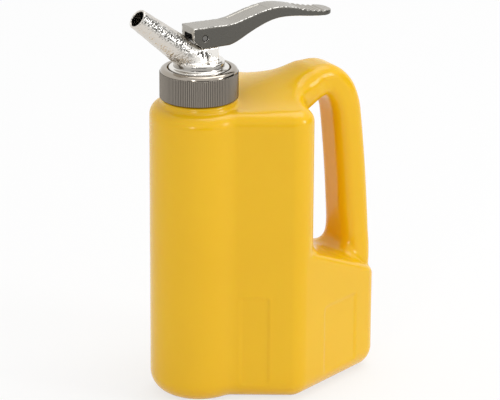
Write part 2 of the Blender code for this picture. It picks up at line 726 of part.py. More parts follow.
def build_tap_body():
    profile = [
        (0.0, BOSS_TOP), (BOSS_R - 1.2, BOSS_TOP), (BOSS_R - 0.3, BOSS_TOP - 0.5),
        (BOSS_R, BOSS_TOP - 1.4), (BOSS_R, STEP_TOP + 0.5), (BOSS_R + 0.5, STEP_TOP),
        (STEP_R - 1.0, STEP_TOP), (STEP_R - 0.3, STEP_TOP - 0.3), (STEP_R, STEP_TOP - 1.0),
        (STEP_R, FLANGE_TOP), (FLANGE_R, FLANGE_TOP), (FLANGE_R, FLANGE_BOTTOM),
        (SPIGOT_R, FLANGE_BOTTOM), (SPIGOT_R, SPIGOT_BOTTOM + SPIGOT_EDGE),
        (SPIGOT_R - SPIGOT_EDGE, SPIGOT_BOTTOM), (0.0, SPIGOT_BOTTOM),
    ]
    tap = turned("tap_body", profile, CAST_NICKEL)
    tip_edge = 0.4
    root = 2.0
    spout = turned(
        "spout_outer",
        [(0.0, SPOUT_LENGTH), (SPOUT_TIP_R - tip_edge, SPOUT_LENGTH),
         (SPOUT_TIP_R, SPOUT_LENGTH - tip_edge), (SPOUT_BASE_R, SPOUT_BASE_AT),
         (SPOUT_BASE_R, root), (0.0, root)],
        None, FINE_STEPS, cutter=True,
    )
    spout.location = (0.0, 0.0, SPOUT_AXIS_Z * MM)
    spout.rotation_euler = (0.0, math.radians(SPOUT_ANGLE - 90.0), 0.0)
    rear = PEDESTAL_X
    upper = plate(
        "pedestal_upper",
        [(-PEDESTAL_FRONT, PEDESTAL_STEP), (rear, PEDESTAL_STEP),
         (rear, PEDESTAL_TOP - PEDESTAL_CHAMFER), (rear - PEDESTAL_CHAMFER, PEDESTAL_TOP),
         (-PEDESTAL_FRONT, PEDESTAL_TOP)],
        PEDESTAL_HALF_WIDTH, True, None, True,
    )
    lower_half = PEDESTAL_HALF_WIDTH - PEDESTAL_UNDERCUT
    lower = block(
        "pedestal_lower", (-PEDESTAL_FRONT, -lower_half, STEP_TOP),
        (rear - PEDESTAL_UNDERCUT, lower_half, PEDESTAL_STEP + 0.5), None, True,
    )
    cut_all(tap, "casting_shapes", (spout, upper, lower), "UNION")

    bore_end = SPOUT_LENGTH - SPOUT_BORE_LENGTH
    step = 3.0
    tools = (
        bore("seat_pocket", SEAT_POCKET_R, SPIGOT_BOTTOM - PAST, SEAT_POCKET_TOP),
        bore("snap_ring_groove", SNAP_RING_R + GAP, SNAP_RING_TOP - SNAP_RING_T - GAP,
             SNAP_RING_TOP + GAP),
        bore("chamber", CHAMBER_R, SEAT_POCKET_TOP - step, CHAMBER_TOP),
        bore("stem_hole", STEM_HOLE_R, CHAMBER_TOP - step, PEDESTAL_TOP + PAST),
        bore("guide_bore", GUIDE_R, GUIDE_BOTTOM, PEDESTAL_TOP + PAST),
        rod("spout_bore", SPOUT_BORE_R, spout_point(SPOUT_LENGTH + PAST), spout_point(bore_end),
            None, True),
        rod("spout_port", PORT_R, spout_point(bore_end + step, -PORT_OFFSET),
            spout_point(PORT_END, -PORT_OFFSET), None, True),
    )
    cut_all(tap, "casting_bores", tools)
    tap.data.shade_smooth()


def build_seat():
    slope_out = SEAT_BORE_R + SEAT_LIP_WIDTH + 1.0
    turned(
        "valve_seat",
        [(SEAT_BORE_R, SEAT_LIP_TOP), (SEAT_BORE_R + SEAT_LIP_WIDTH, SEAT_LIP_TOP),
         (slope_out, SEAT_TOP + SEAT_SHOULDER), (slope_out, SEAT_TOP), (SEAT_R, SEAT_TOP),
         (SEAT_R, SEAT_BOTTOM), (SEAT_BORE_R, SEAT_BOTTOM)],
        BRASS, FINE_STEPS, closed=True,
    )
    o_ring("seat_o_ring", SEAT_R - SEAT_RING_R, SEAT_RING_R, SEAT_TOP + GAP + SEAT_RING_R, RUBBER)


def build_stem():
    shoulder = DISC_TOP + GAP
    stem_end = DISC_SEAL_BOTTOM - GAP - DISC_NUT_T - 0.6
    stem_top = HEAD_BOTTOM + 0.5
    edge = 0.4
    stem = turned(
        "valve_stem",
        [(0.0, stem_top), (STEM_R, stem_top), (STEM_R, shoulder), (STEM_THREAD_R, shoulder),
         (STEM_THREAD_R, stem_end + edge), (STEM_THREAD_R - edge, stem_end), (0.0, stem_end)],
        STEEL, SMALL_STEPS,
    )
    dome = [(p.x, p.y) for p in arc((0.0, PIN_Z), HEAD_R, 0.0, 180.0, 12)]
    head = plate(
        "stem_head", [(HEAD_R, HEAD_BOTTOM)] + dome + [(-HEAD_R, HEAD_BOTTOM)],
        HEAD_HALF_WIDTH, True, None, True,
    )
    cut(stem, head, "UNION")
    cut(stem, cross_bore("stem_eye", PIN_HOLE_R, 0.0, PIN_Z, SMALL_STEPS))


def build_disc():
    hole = STEM_THREAD_R + GAP
    ring("valve_disc", hole, DISC_R, DISC_BOTTOM, DISC_TOP, BRASS, FINE_STEPS, 0.3)
    ring("disc_seal", hole, DISC_R - 0.4, DISC_SEAL_BOTTOM, DISC_SEAL_BOTTOM + DISC_SEAL_T,
         RUBBER, FINE_STEPS, 0.0)
    nut_top = DISC_SEAL_BOTTOM - GAP
    nut = ring("disc_nut", hole, DISC_NUT_R, nut_top - DISC_NUT_T, nut_top, BRASS, 6, 0.0)
    nut.modifiers["turn"].use_smooth_shade = False


def build_spring():
    bottom = DISC_TOP + GAP + SPRING_WIRE_R
    rise = CHAMBER_TOP - GAP - SPRING_WIRE_R - bottom
    coil = helix(SPRING_MEAN_R, bottom, rise, SPRING_TURNS, 12)
    tube("return_spring", list(coil), SPRING_WIRE_R, STEEL)


def build_stem_guide():
    o_ring("stem_o_ring", STEM_R + GAP + O_RING_R, O_RING_R, GUIDE_BOTTOM + GAP + O_RING_R, RUBBER)
    foot = GUIDE_BOTTOM + GAP * 2.0 + O_RING_R * 2.0
    ring("stem_bush", STEM_HOLE_R - 0.2, GUIDE_R - GAP, foot, PEDESTAL_TOP + BUSH_STAND, BRASS,
         SMALL_STEPS)


def build_screen():
    wall = SCREEN_WALL
    screen = turned(
        "arrester_screen",
        [(SCREEN_R - wall, SCREEN_TOP), (SCREEN_FLANGE_R, SCREEN_TOP),
         (SCREEN_FLANGE_R, SCREEN_TOP - SCREEN_FLANGE_T), (SCREEN_R, SCREEN_TOP - SCREEN_FLANGE_T),
         (SCREEN_R, SCREEN_BOTTOM), (0.0, SCREEN_BOTTOM), (0.0, SCREEN_BOTTOM + wall),
         (SCREEN_R - wall, SCREEN_BOTTOM + wall)],
        STEEL, SMALL_STEPS, closed=True,
    )
    drills = []
    for row in range(SCREEN_ROWS):
        height = SCREEN_TOP - SCREEN_LENGTH * (row + 1.2) / (SCREEN_ROWS + 1.0)
        for hole in range(SCREEN_HOLES):
            way = unit(360.0 * (hole + 0.5 * (row % 2)) / SCREEN_HOLES) * (SCREEN_R + PAST)
            drills.append(rod(
                "screen_drill_%d_%d" % (row, hole), SCREEN_HOLE_R,
                (0.4 * way.x, 0.4 * way.y, height), (way.x, way.y, height), None, True, 8,
            ))
    cut_all(screen, "screen_drills", drills)
    ring("arrester_ring", SNAP_RING_BORE_R, SNAP_RING_R, SNAP_RING_TOP - SNAP_RING_T,
         SNAP_RING_TOP, STEEL, SMALL_STEPS, 0.0)


TOP_CURVE = list(smooth_rows(LEVER_TOP_LINE[1:], 3))


def lever_top(x):
    """Height of the lever's curved top line at x, above the pin."""
    for (x0, z0), (x1, z1) in zip(TOP_CURVE, TOP_CURVE[1:]):
        if x0 <= x <= x1:
            return z0 + (z1 - z0) * (x - x0) / (x1 - x0)
    return LEVER_TOP_LINE[0][1]


def build_lever():
    under = list(smooth_rows(LEVER_UNDER_LINE[:-2], 3)) + list(LEVER_UNDER_LINE[-2:])
    lever = plate("lever", [LEVER_TOP_LINE[0]] + TOP_CURVE + under, LEVER_HALF_WIDTH, True,
                  GREY_NICKEL)
    lever.location = (0.0, 0.0, PIN_Z * MM)
    front_x = LEVER_TOP_LINE[0][0]
    half = LEVER_HALF_WIDTH
    corner_x = LEVER_TIP_X - LEVER_TIP_R
    plan = [Vector((front_x - PAST, -half))]
    plan += arc((corner_x, -half + LEVER_TIP_R), LEVER_TIP_R, -90.0, 0.0, 8)
    plan += arc((corner_x, half - LEVER_TIP_R), LEVER_TIP_R, 0.0, 90.0, 8)
    plan += [Vector((front_x - PAST, half))]
    reach = 30.0
    envelope = plate("lever_plan", [(p.x, p.y) for p in plan], reach, False, None, True)
    envelope.location = (0.0, 0.0, PIN_Z * MM)
    cut(lever, envelope, "INTERSECT")

    # the underside is a channel, flat over the stem and then an even web under the top
    deep = -reach
    inside = front_x + CHANNEL_LIP
    ceiling = [(inside, CHANNEL_TOP)]
    ceiling += [
        (x, max(z - CHANNEL_WEB, CHANNEL_TOP)) for x, z in TOP_CURVE if x < CHANNEL_REAR
    ]
    channel = plate("lever_channel", [(inside, deep)] + ceiling + [(CHANNEL_REAR, deep)],
                    CHANNEL_HALF_WIDTH, True, None, True)
    mouth = block("lever_mouth", (front_x - PAST, -CHANNEL_HALF_WIDTH, deep),
                  (inside + 1.0, CHANNEL_HALF_WIDTH, CHANNEL_LIP_Z), None, True)
    channel.location = lever.location
    mouth.location = lever.location
    tools = [channel, mouth, cross_bore("lever_pin_hole", PIN_HOLE_R, 0.0, PIN_Z)]
    for i in range(SERRATION_COUNT):
        x = SERRATION_FROM + SERRATION_PITCH * i
        z = PIN_Z + lever_top(x) - SERRATION_SINK + SERRATION_R
        tools.append(cross_bore("serration_%d" % i, SERRATION_R, x, z, 8))
    rise = lever_top(LEVER_LABEL_TO) - lever_top(LEVER_LABEL_FROM)
    span = LEVER_LABEL_TO - LEVER_LABEL_FROM
    label = block(
        "lever_label", (0.0, -LEVER_LABEL_HALF_WIDTH, -LEVER_LABEL_DEPTH),
        (span, LEVER_LABEL_HALF_WIDTH, PAST), None, True,
    )
    label.location = (LEVER_LABEL_FROM * MM, 0.0, (PIN_Z + lever_top(LEVER_LABEL_FROM)) * MM)
    label.rotation_euler = (0.0, -math.atan2(rise, span), 0.0)
    cut_all(lever, "lever_tools", tools + [label])
    rod("lever_pin", PIN_R, (0.0, -PIN_HALF_LENGTH, PIN_Z), (0.0, PIN_HALF_LENGTH, PIN_Z), STEEL)


build_can()
build_seal()
build_nut()
build_slip_ring()
build_tap_body()
build_seat()
build_stem()
build_disc()
build_spring()
build_stem_guide()
build_screen()
build_lever()
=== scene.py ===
"""Plastic can with a metal tap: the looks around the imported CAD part.

Shapes are worked out in millimetres in the row frame, and turned into metres when a mesh is made.
The can, the cast tap and the lever are smooth surfaces, each drawn as the zero level of a distance
field: a function that is negative inside the piece and positive outside it.
"""
import math

import bpy
import numpy as np
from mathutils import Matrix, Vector


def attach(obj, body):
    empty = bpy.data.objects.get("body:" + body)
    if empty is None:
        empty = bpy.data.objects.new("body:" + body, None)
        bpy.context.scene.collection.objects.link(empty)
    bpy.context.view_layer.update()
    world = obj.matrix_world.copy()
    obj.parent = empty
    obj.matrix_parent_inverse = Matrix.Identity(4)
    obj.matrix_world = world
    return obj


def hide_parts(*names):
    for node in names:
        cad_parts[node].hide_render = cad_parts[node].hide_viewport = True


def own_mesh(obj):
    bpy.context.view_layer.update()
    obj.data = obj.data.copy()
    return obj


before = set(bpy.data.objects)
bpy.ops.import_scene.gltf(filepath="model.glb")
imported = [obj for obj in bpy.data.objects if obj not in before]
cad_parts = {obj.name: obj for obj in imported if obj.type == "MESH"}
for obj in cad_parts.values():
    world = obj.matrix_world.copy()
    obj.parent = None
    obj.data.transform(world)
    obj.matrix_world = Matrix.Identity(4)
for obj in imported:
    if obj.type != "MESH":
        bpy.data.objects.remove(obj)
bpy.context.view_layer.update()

MM = 0.001

# can, as in the CAD part
CAN_HEIGHT = 192.5
FRONT_R = 31.0
CREASE_ANGLE = 12.0
FLANK_ANGLE = 30.5
FLANK_HALF_WIDTH = 52.5
FLANK_CORNER_R = 14.0
REAR_WALL_ANGLE = 15.0
REAR_NOSE_R = 22.0
REAR_NOSE_TURNS = (-15.0, -9.0, -3.0)
BASE_FILLET = 14.0
SHOULDER_FILLET = 7.8
TAIL_X = 119.0
TAIL_HALF_WIDTH = 22.5
SHELF_Z = 93.5
SHELF_X = 62.0
SHELF_SLOPE = 0.46
SHELF_FILLET = 4.0
COLLAR_R = 23.4
COLLAR_TOP = CAN_HEIGHT + 1.9
COLLAR_ROOT = 6.0
COLLAR_EDGE = 0.7
NECK_R = 20.9
NECK_BORE_R = 17.5
NECK_BORE_BOTTOM = CAN_HEIGHT - 37.5
NECK_TOP = CAN_HEIGHT + 13.5
NECK_EDGE = 0.5
NECK_PLAIN = 0.9
NECK_ROW = 0.25
BORE_DRAFT = 0.05

# how far the flanks and the tail reach into the shapes beside them
FLANK_OVERLAP = 20.0
TAIL_OVERLAP = 12.0

# how far the neck's mesh reaches down into the collar: its thread and its foot
NECK_REACH = (2.0, 2.2)

# the near shoulder lies lower than the far one, as the photograph's outline runs
SHOULDER_DROP = 2.3
SHOULDER_DROP_OVER = (-30.0, 10.0)

# threads of the neck and the nut
THREAD_PITCH = 4.0
THREAD_START = NECK_TOP - 8.8
THREAD_HEIGHT = 1.2
THREAD_HALF_WIDTH = 1.1
THREAD_RUN_OUT = 0.12
NECK_THREAD_TURNS = 1.75
NUT_THREAD_TURNS = 1.5

# how softly the moulded shapes run into each other, and where such a blend fades out
CREASE_BLEND = 3.0
SHELF_BLEND = 9.0
SHELF_BLEND_DEPTH = 6.0
SHELF_BLEND_LEVELS = (30.0, 50.0)
COLLAR_BLEND = 2.4
PANEL_BLEND = 1.2

# crown: behind the neck the top of the can rises to the handle as a broad low bank
CROWN_FROM = 30.0
CROWN_ONSET = 10.0
CROWN_RUN = 51.0
CROWN_RISE = 16.4
CROWN_SINK = 2.0
CROWN_POWER = 0.5
CROWN_LEVEL = 6.0
CROWN_FOOT = 50.0
CROWN_THICK = 14.0
CROWN_EDGE = 6.0
CROWN_INSET = 4.0
CROWN_STRIP = (45.0, 80.0)
CROWN_STRIP_EDGE = 4.0
CROWN_STRIP_HALF_WIDTH = 15.0
CROWN_FLARE = 20.0
CROWN_BLEND = 3.5
CROWN_BLEND_OVER = (10.0, 40.0)

# handle: centre x, centre z, half thickness, half width, corner radius
HANDLE = (
    (12.0, 175.0, 14.0, 30.0, 12.5),
    (32.0, 178.0, 13.0, 24.0, 11.0),
    (50.0, 181.4, 12.0, 20.0, 10.0),
    (65.0, 187.0, 11.6, 17.0, 9.4),
    (77.5, 193.5, 11.1, 15.4, 8.6),
    (88.5, 195.2, 10.0, 14.6, 8.0),
    (97.3, 188.6, 10.0, 14.5, 8.0),
    (102.2, 178.0, 10.0, 14.5, 8.0),
    (104.3, 165.0, 10.0, 14.5, 8.0),
    (107.3, 135.0, 10.1, 14.5, 8.0),
    (109.3, 107.0, 10.1, 14.7, 8.0),
    (110.0, 92.0, 9.8, 15.6, 8.0),
    (109.6, 80.0, 10.0, 17.8, 8.4),
    (107.8, 68.0, 10.8, 19.5, 9.4),
    (104.4, 55.0, 11.0, 19.5, 9.4),
)
HANDLE_STEPS = 8
HANDLE_BLEND = 1.0
HANDLE_TOP_BLEND = 4.0
HANDLE_TOP_OVER = (30.0, 55.0)
HANDLE_FOOT_BLEND = 11.0
HANDLE_FOOT_OVER = (100.0, 113.0)
HANDLE_LEVELS = (110.0, 150.0)

# blank moulded panels
PANEL_CORNER = 1.5
LABEL_LONG = 57.0
LABEL_WIDE = 17.0
LABEL_DISTANCE = 14.5
LABEL_Z = 41.0
LABEL_DEPTH = 0.55
TAIL_PANEL_LONG = 44.0
TAIL_PANEL_WIDE = 32.0
TAIL_PANEL_DISTANCE = 26.0
TAIL_PANEL_Z = 34.0
TAIL_PANEL_DEPTH = 0.45

# union nut
NUT_R = 24.6
NUT_BOTTOM = NECK_TOP - 11.0
KNURL_TOP = NECK_TOP + 6.1
KNURL_DEPTH = 0.45
KNURL_TEETH = 128
KNURL_POINT = 0.8
NUT_BORE_R = 22.5
NUT_LIP_R = 19.9
NUT_LIP_EDGE = 0.5
NUT_LIP_LINE = 0.6
NUT_TOP = NECK_TOP + 8.6
NUT_FLAT = (1.1, 1.3)
NUT_SHOULDER = (2.9, 2.3)
LIP_UNDERSIDE = NECK_TOP + 6.7

# rows of the nut's mesh: above and below the knurl's top, along it, and at the nut's foot
KNURL_LEDGE = (0.02, 0.15)
KNURL_TOP_ROWS = (0.3, 0.7)
KNURL_MIDDLE = (2.0, 1.2)
KNURL_MIDDLE_ROWS = 8
KNURL_FOOT = 0.6
NUT_FOOT = (0.3, 0.25)
NUT_BORE_EDGE = 0.4
NUT_THREAD_ROW = 0.3

# how far the knurl's look runs in from its core, and above its top
KNURL_LOOK = (0.7, 0.1)

# tap casting: rings, spigot and bores
FLANGE_R = 21.1
FLANGE_BOTTOM = NECK_TOP + 1.6
FLANGE_TOP = FLANGE_BOTTOM + 4.0
FLANGE_EDGE = 0.4
STEP_R = 19.0
STEP_TOP = NECK_TOP + 9.1
STEP_EDGE = 1.0
STEP_BLEND = 1.2
BOSS_R = 16.0
BOSS_TOP = NECK_TOP + 13.5
BOSS_EDGE = 1.5
SPIGOT_R = 16.6
SPIGOT_BOTTOM = NECK_TOP - 13.0
SPIGOT_EDGE = 0.6
SPIGOT_OVERLAP = 2.0
SEAT_POCKET_R = 12.0
SEAT_POCKET_TOP = NECK_TOP - 3.8
CHAMBER_R = 10.5
CHAMBER_TOP = NECK_TOP + 11.5
STEM_HOLE_R = 3.0
GUIDE_R = 4.2
GUIDE_BOTTOM = NECK_TOP + 17.0
SNAP_RING_R = 12.7
SNAP_RING_LEVELS = (NECK_TOP - 12.2, NECK_TOP - 10.5)
BORE_EDGE = 0.3

# tap casting: spout, pedestal and the uneven skin on both
SPOUT_ANGLE = 38.6
SPOUT_AXIS_Z = NECK_TOP + 10.7
SPOUT_START = 2.0
SPOUT_LENGTH = 55.5
SPOUT_TIP_R = 6.45
SPOUT_TIP_EDGE = 0.5
SPOUT_BASE_R = 8.7
SPOUT_BASE_AT = 19.0
SPOUT_BORE_R = 5.2
SPOUT_BORE_LENGTH = 38.0
PORT_R = 3.8
PORT_DROP = 1.6
PORT_SPAN = (4.0, 21.0)
PEDESTAL_X = 10.2
PEDESTAL_FRONT = 9.0
PEDESTAL_HALF_WIDTH = 7.4
PEDESTAL_TOP = NECK_TOP + 21.6
PEDESTAL_STEP = NECK_TOP + 14.4
PEDESTAL_UNDERCUT = 0.7
PEDESTAL_EDGE = 1.2
PEDESTAL_TOP_EDGE = 0.8
PEDESTAL_COVER = 2.0
PEDESTAL_BLEND = 0.5
SPOUT_BLEND = 2.5
CASTING_BLEND = 2.2
SKIN_COARSE = (0.12, 7.0)
SKIN_FINE = (0.06, 3.1)
SKIN_ON_SPOUT = 0.6
SKIN_FREE_TIP = 4.0
SKIN_LEVELS = (BOSS_TOP - 0.5, BOSS_TOP + 2.0)

# lever: heights are above the pin
PIN_Z = PEDESTAL_TOP + 7.0
LEVER_HALF_WIDTH = 8.3
LEVER_TOP_LINE = (
    (-7.7, 6.9), (17.0, 6.4), (22.0, 6.9), (29.0, 8.7), (38.0, 11.0), (46.0, 12.5),
    (53.0, 12.9), (60.0, 12.0), (68.0, 10.1), (77.0, 7.8), (85.0, 6.4), (94.5, 5.6),
)
LEVER_UNDER_LINE = (
    (94.5, 3.1), (86.0, 2.9), (76.0, 3.9), (66.0, 5.3), (57.0, 6.0), (50.0, 5.6),
    (43.5, 4.0), (36.0, 1.2), (29.5, -1.8), (22.5, -5.2), (17.4, -6.7), (-1.4, -6.7),
    (-7.7, -1.3),
)
LEVER_STEPS = 3
LEVER_EDGE = 0.7
LEVER_TIP_X = 93.4
LEVER_TIP_R = 7.0
LEVER_BLUNT_HALF = 60.0
LEVER_BLUNT_FROM = 10.0
CHANNEL_HALF_WIDTH = 4.6
CHANNEL_TOP = 4.3
CHANNEL_LIP = 2.2
CHANNEL_LIP_Z = 2.6
CHANNEL_WEB = 2.6
CHANNEL_REAR = 52.0
CHANNEL_MOUTH = 1.0
CHANNEL_EDGE = 0.5
PIN_HOLE_R = 2.05
LEVER_LABEL_FROM = 22.0
LEVER_LABEL_TO = 46.0
LEVER_LABEL_HALF_WIDTH = 5.2
LEVER_LABEL_DEPTH = 0.3
LEVER_LABEL_CORNER = 1.0
LEVER_LABEL_EDGE = 0.4
SERRATION_FROM = 70.0
SERRATION_COUNT = 5
SERRATION_PITCH = 3.75
SERRATION_R = 1.3
SERRATION_SINK = 0.8
SERRATION_EDGE = 0.3

# the boxes in which the surfaces are drawn, and how finely
CAN_SPAN = (
    (-FRONT_R - 0.5, -FLANK_HALF_WIDTH - 0.5, 0.0),
    (TAIL_X + 1.5, FLANK_HALF_WIDTH + 0.5, NECK_TOP + 1.0),
)
CAN_GRID = 1.25
TAP_SPAN = (
    (7.0 - SPOUT_LENGTH, -FLANGE_R - 0.3, SPIGOT_BOTTOM - 0.5),
    (FLANGE_R + 0.3, FLANGE_R + 0.3, SPOUT_AXIS_Z + 39.9),
)
TAP_GRID = 0.5
LEVER_SPAN = (
    (-8.0, -LEVER_HALF_WIDTH - 0.2, PIN_Z - 7.2),
    (LEVER_TIP_X + 0.2, LEVER_HALF_WIDTH + 0.2, PIN_Z + 13.4),
)
LEVER_GRID = 0.4
GRID_MARGIN = 1.5
SETTLE_ROUNDS = 4
SETTLE_NUDGE = 0.02
SETTLE_REACH = 0.4
SETTLE_FLATTEST = 0.05
NECK_SIDES = 144
SIDES_PER_TOOTH = 6

# plain looks of the main materials: colour, metallic and roughness
YELLOW_PLASTIC = ((0.79, 0.46, 0.014), 0.0, 0.3)
POLISHED_NICKEL = ((0.385, 0.345, 0.295), 1.0, 0.1)
KNURLED_NICKEL = ((0.36, 0.325, 0.285), 1.0, 0.32)
CAST_NICKEL = ((0.80, 0.775, 0.73), 1.0, 0.14)
SATIN_NICKEL = ((0.42, 0.40, 0.37), 1.0, 0.34)

# where most values of a noise texture lie
NOISE_SPAN = (0.3, 0.7)

# pairs of tones between which a texture runs
YELLOW_TONES = ((0.785, 0.455, 0.004), (0.81, 0.478, 0.006))
# painted shade at the bottom of the knurl's grooves, then the crests' own tone
KNURL_GROOVE_SHADE_TONES = ((0.09, 0.078, 0.064), (0.40, 0.36, 0.31))
# painted shade on the sides of the turned rings, then painted light on their upward faces
RING_SHADE_AND_LIGHT_TONES = ((0.40, 0.38, 0.35), (0.80, 0.775, 0.73))
SKIN_TONES = ((0.84, 0.815, 0.77), (0.66, 0.62, 0.565))
FLECK_TONES = ((0.10, 0.098, 0.09), (0.76, 0.74, 0.70))
BURR_TONES = ((0.10, 0.095, 0.085), (0.80, 0.78, 0.73))
LEVER_TOP_TONE = (0.40, 0.38, 0.34)
# painted shade on the lever's sides, standing in for their dark reflection
LEVER_SIDE_SHADE_TONE = (0.115, 0.11, 0.098)
WHITE = (1.0, 1.0, 1.0, 1.0)

# where and how strongly the looks of the tap and the lever change, by a wall's place, by the
# way it faces, or by a noise
SKIN_FROM_Z = (BOSS_TOP - 2.0, BOSS_TOP)
SMOOTHER_FROM_X = (-14.0, -6.0)
SPOUT_UPWARD = (0.62, 0.78)
FLANK_FACING = (0.55, 0.75)
RAISED_FACING = (-0.25, 0.05)
# how far a ring's wall faces up to take the painted light
RING_LIGHT_FACING = (0.3, 0.7)
FLECK_SHARE = (0.44, 0.54)
SKIN_STRENGTH = (0.10, 0.42)
# how far a lever wall faces sideways to take the painted shade
LEVER_SHADE_FACING = (0.28, 0.40)
LEVER_SIDE_UNEVEN = -0.7
BURR_INSIDE = (1.5, 0.9)
CHIP_SHARE = (0.44, 0.52)

# studio: for each softbox its place, aim, size in metres and power in watts
SOFTBOXES = (
    ("right_softbox", (1.25, -1.50, 0.75), (0.04, 0.0, 0.12), (0.5, 0.7), 9.0),
    ("front_softbox", (-1.35, -1.35, 0.55), (0.03, 0.0, 0.12), (0.22, 0.30), 4.2),
    ("top_softbox", (0.7, 0.1, 2.1), (0.04, 0.0, 0.1), (1.6, 1.6), 19.0),
)
# for each dark card its direction in degrees, width, lower and upper edge, distance and tone
DARK_CARDS = (
    ("dark_card_front", -120.5, 1.6, 0.0, 0.42, 1.2, 0.04),
    ("dark_card_right", -22.0, 1.2, 0.08, 0.55, 1.2, 0.05),
)
CARD_WARMTH = (1.0, 0.96, 0.9)
FLOOR_REACH = 20.0
FLOOR_TONE = (0.86, 0.86, 0.86)
FLOOR_WHITE_SHARE = (0.7, 1.0)
FLOOR_WHITE_OVER = (0.3, 2.5)
WORLD_LEVELS = (0.72, 1.0)

# camera, fitted to the photograph
CAMERA_AZIMUTH = 29.5
CAMERA_ELEVATION = 19.5
CAMERA_DISTANCE = 2.0
CAMERA_TARGET = (0.0, 0.0, 0.110)
CAMERA_REACH = 50.0
FOCAL_PIXELS = 3174.0
IMAGE_WIDTH = 500.0
TARGET_OFFSET = (51.0, 25.8)
SENSOR = 36.0


# Distance fields: each takes x, y and z in millimetres, as arrays that combine

def unit(angle):
    return np.array((math.cos(math.radians(angle)), math.sin(math.radians(angle))))


def ramp(value, start, end):
    """0 before start, 1 after end, and smooth between."""
    t = np.clip((value - start) / (end - start), 0.0, 1.0)
    return t * t * (3.0 - 2.0 * t)


def join(*fields):
    whole = fields[0]
    for field in fields[1:]:
        whole = np.minimum(whole, field)
    return whole


def soft_join(a, b, width):
    """Union with a smooth run from one shape into the other."""
    width = np.maximum(width, 0.001)
    h = np.maximum(width - np.abs(a - b), 0.0) / width
    return np.minimum(a, b) - h * h * width * 0.25


def soft_cut(a, tool, width):
    return -soft_join(-a, tool, width)


def round_meet(a, b, radius):
    """What lies in both shapes, with a rounded edge where they meet."""
    outside = np.hypot(np.maximum(a + radius, 0.0), np.maximum(b + radius, 0.0))
    return np.minimum(np.maximum(a, b), -radius) + outside


def between(value, bottom, top):
    """Negative between the two levels."""
    return np.maximum(bottom - value, value - top)


def turned_slab(r, z, radius, bottom, top, edge):
    """A turned slab with a rounded edge."""
    middle = (top + bottom) / 2.0
    return round_meet(r - radius, np.abs(z - middle) - (top - bottom) / 2.0, edge)


def rounded_box(u, v, half_u, half_v, corner):
    """A flat rounded rectangle."""
    across = np.abs(u) - half_u + corner
    along = np.abs(v) - half_v + corner
    outside = np.hypot(np.maximum(across, 0.0), np.maximum(along, 0.0))
    return np.minimum(np.maximum(across, along), 0.0) + outside - corner


def outline(u, v, corners):
    """A flat outline with straight sides, of any shape."""
    near = None
    inside = None
    for (au, av), (bu, bv) in zip(corners, corners[1:] + corners[:1]):
        eu, ev = bu - au, bv - av
        along = np.clip(((u - au) * eu + (v - av) * ev) / (eu * eu + ev * ev), 0.0, 1.0)
        gap = np.hypot(u - au - along * eu, v - av - along * ev)
        side = (u - au) * ev - (v - av) * eu
        crosses = ((av <= v) & (bv > v) & (side < 0.0)) | ((bv <= v) & (av > v) & (side > 0.0))
        near = gap if near is None else np.minimum(near, gap)
        inside = crosses if inside is None else inside ^ crosses
    return np.where(inside, -near, near)


def swept(x, y, z, stations):
    """A rounded rectangle carried along a smooth line in the XZ plane."""
    best = None
    for p, q in zip(stations, stations[1:]):
        dx, dz = q[0] - p[0], q[1] - p[1]
        length = math.hypot(dx, dz)
        t = np.clip(((x - p[0]) * dx + (z - p[1]) * dz) / length ** 2, 0.0, 1.0)
        gap = np.hypot(x - p[0] - t * dx, z - p[1] - t * dz)
        sizes = [a + t * (b - a) for a, b in zip(p[2:], q[2:])]
        if best is None:
            best = [gap] + sizes
        else:
            nearer = gap < best[0]
            best = [np.where(nearer, new, old) for new, old in zip([gap] + sizes, best)]
    gap, thick, wide, corner = best
    return rounded_box(y, gap, wide, thick, corner)


def smooth_rows(rows, steps):
    """A smooth run through rows of numbers, by Catmull and Rom's rule."""
    ends = [rows[0]] + list(rows) + [rows[-1]]
    for i in range(1, len(ends) - 2):
        for step in range(steps):
            t = step / steps
            yield tuple(
                0.5 * (2.0 * b + (c - a) * t + (2.0 * a - 5.0 * b + 4.0 * c - d) * t * t
                       + (3.0 * b - a - 3.0 * c + d) * t ** 3)
                for a, b, c, d in zip(*ends[i - 1:i + 3])
            )
    yield tuple(rows[-1])


def lumps(x, y, z, size):
    """Soft lumps of about one given size, between -1 and 1."""
    k = math.tau / size
    a = np.sin(k * (0.81 * x + 0.33 * y - 0.48 * z) + 1.7 * np.sin(k * 0.37 * (y + z)))
    b = np.sin(k * (-0.42 * x + 0.87 * y + 0.25 * z) + 1.3 * np.sin(k * 0.41 * (x - z)))
    c = np.sin(k * (0.29 * x - 0.36 * y + 0.89 * z) + 1.5 * np.sin(k * 0.33 * (x + y)))
    return (a + b + c) / 3.0


# Meshes

CUBE = [(i, j, k) for i in (0, 1) for j in (0, 1) for k in (0, 1)]
CUBE_EDGES = [
    (a, b) for a in CUBE for b in CUBE if a < b and sum(abs(p - q) for p, q in zip(a, b)) == 1
]


def mixed_cells(solid):
    """The grid cells that the surface passes through, and a grid with the number of each."""
    cells = tuple(n - 1 for n in solid.shape)
    count = np.zeros(cells, np.uint8)
    for i, j, k in CUBE:
        count += solid[i:i + cells[0], j:j + cells[1], k:k + cells[2]]
    mixed = (count > 0) & (count < len(CUBE))
    number = np.full(cells, -1, np.int64)
    number[mixed] = np.arange(mixed.sum())
    return np.argwhere(mixed), number


def cell_points(values, cell):
    """The middle of the places where the surface cuts each cell's edges, in grid steps."""
    total = np.zeros((len(cell), 3))
    hits = np.zeros(len(cell))
    for a, b in CUBE_EDGES:
        va = values[tuple((cell + a).T)].astype(float)
        vb = values[tuple((cell + b).T)].astype(float)
        cross = (va < 0.0) != (vb < 0.0)
        t = va[cross] / (va[cross] - vb[cross])
        total[cross] += np.array(a) + t[:, None] * (np.array(b) - np.array(a))
        hits[cross] += 1.0
    return cell + total / hits[:, None]


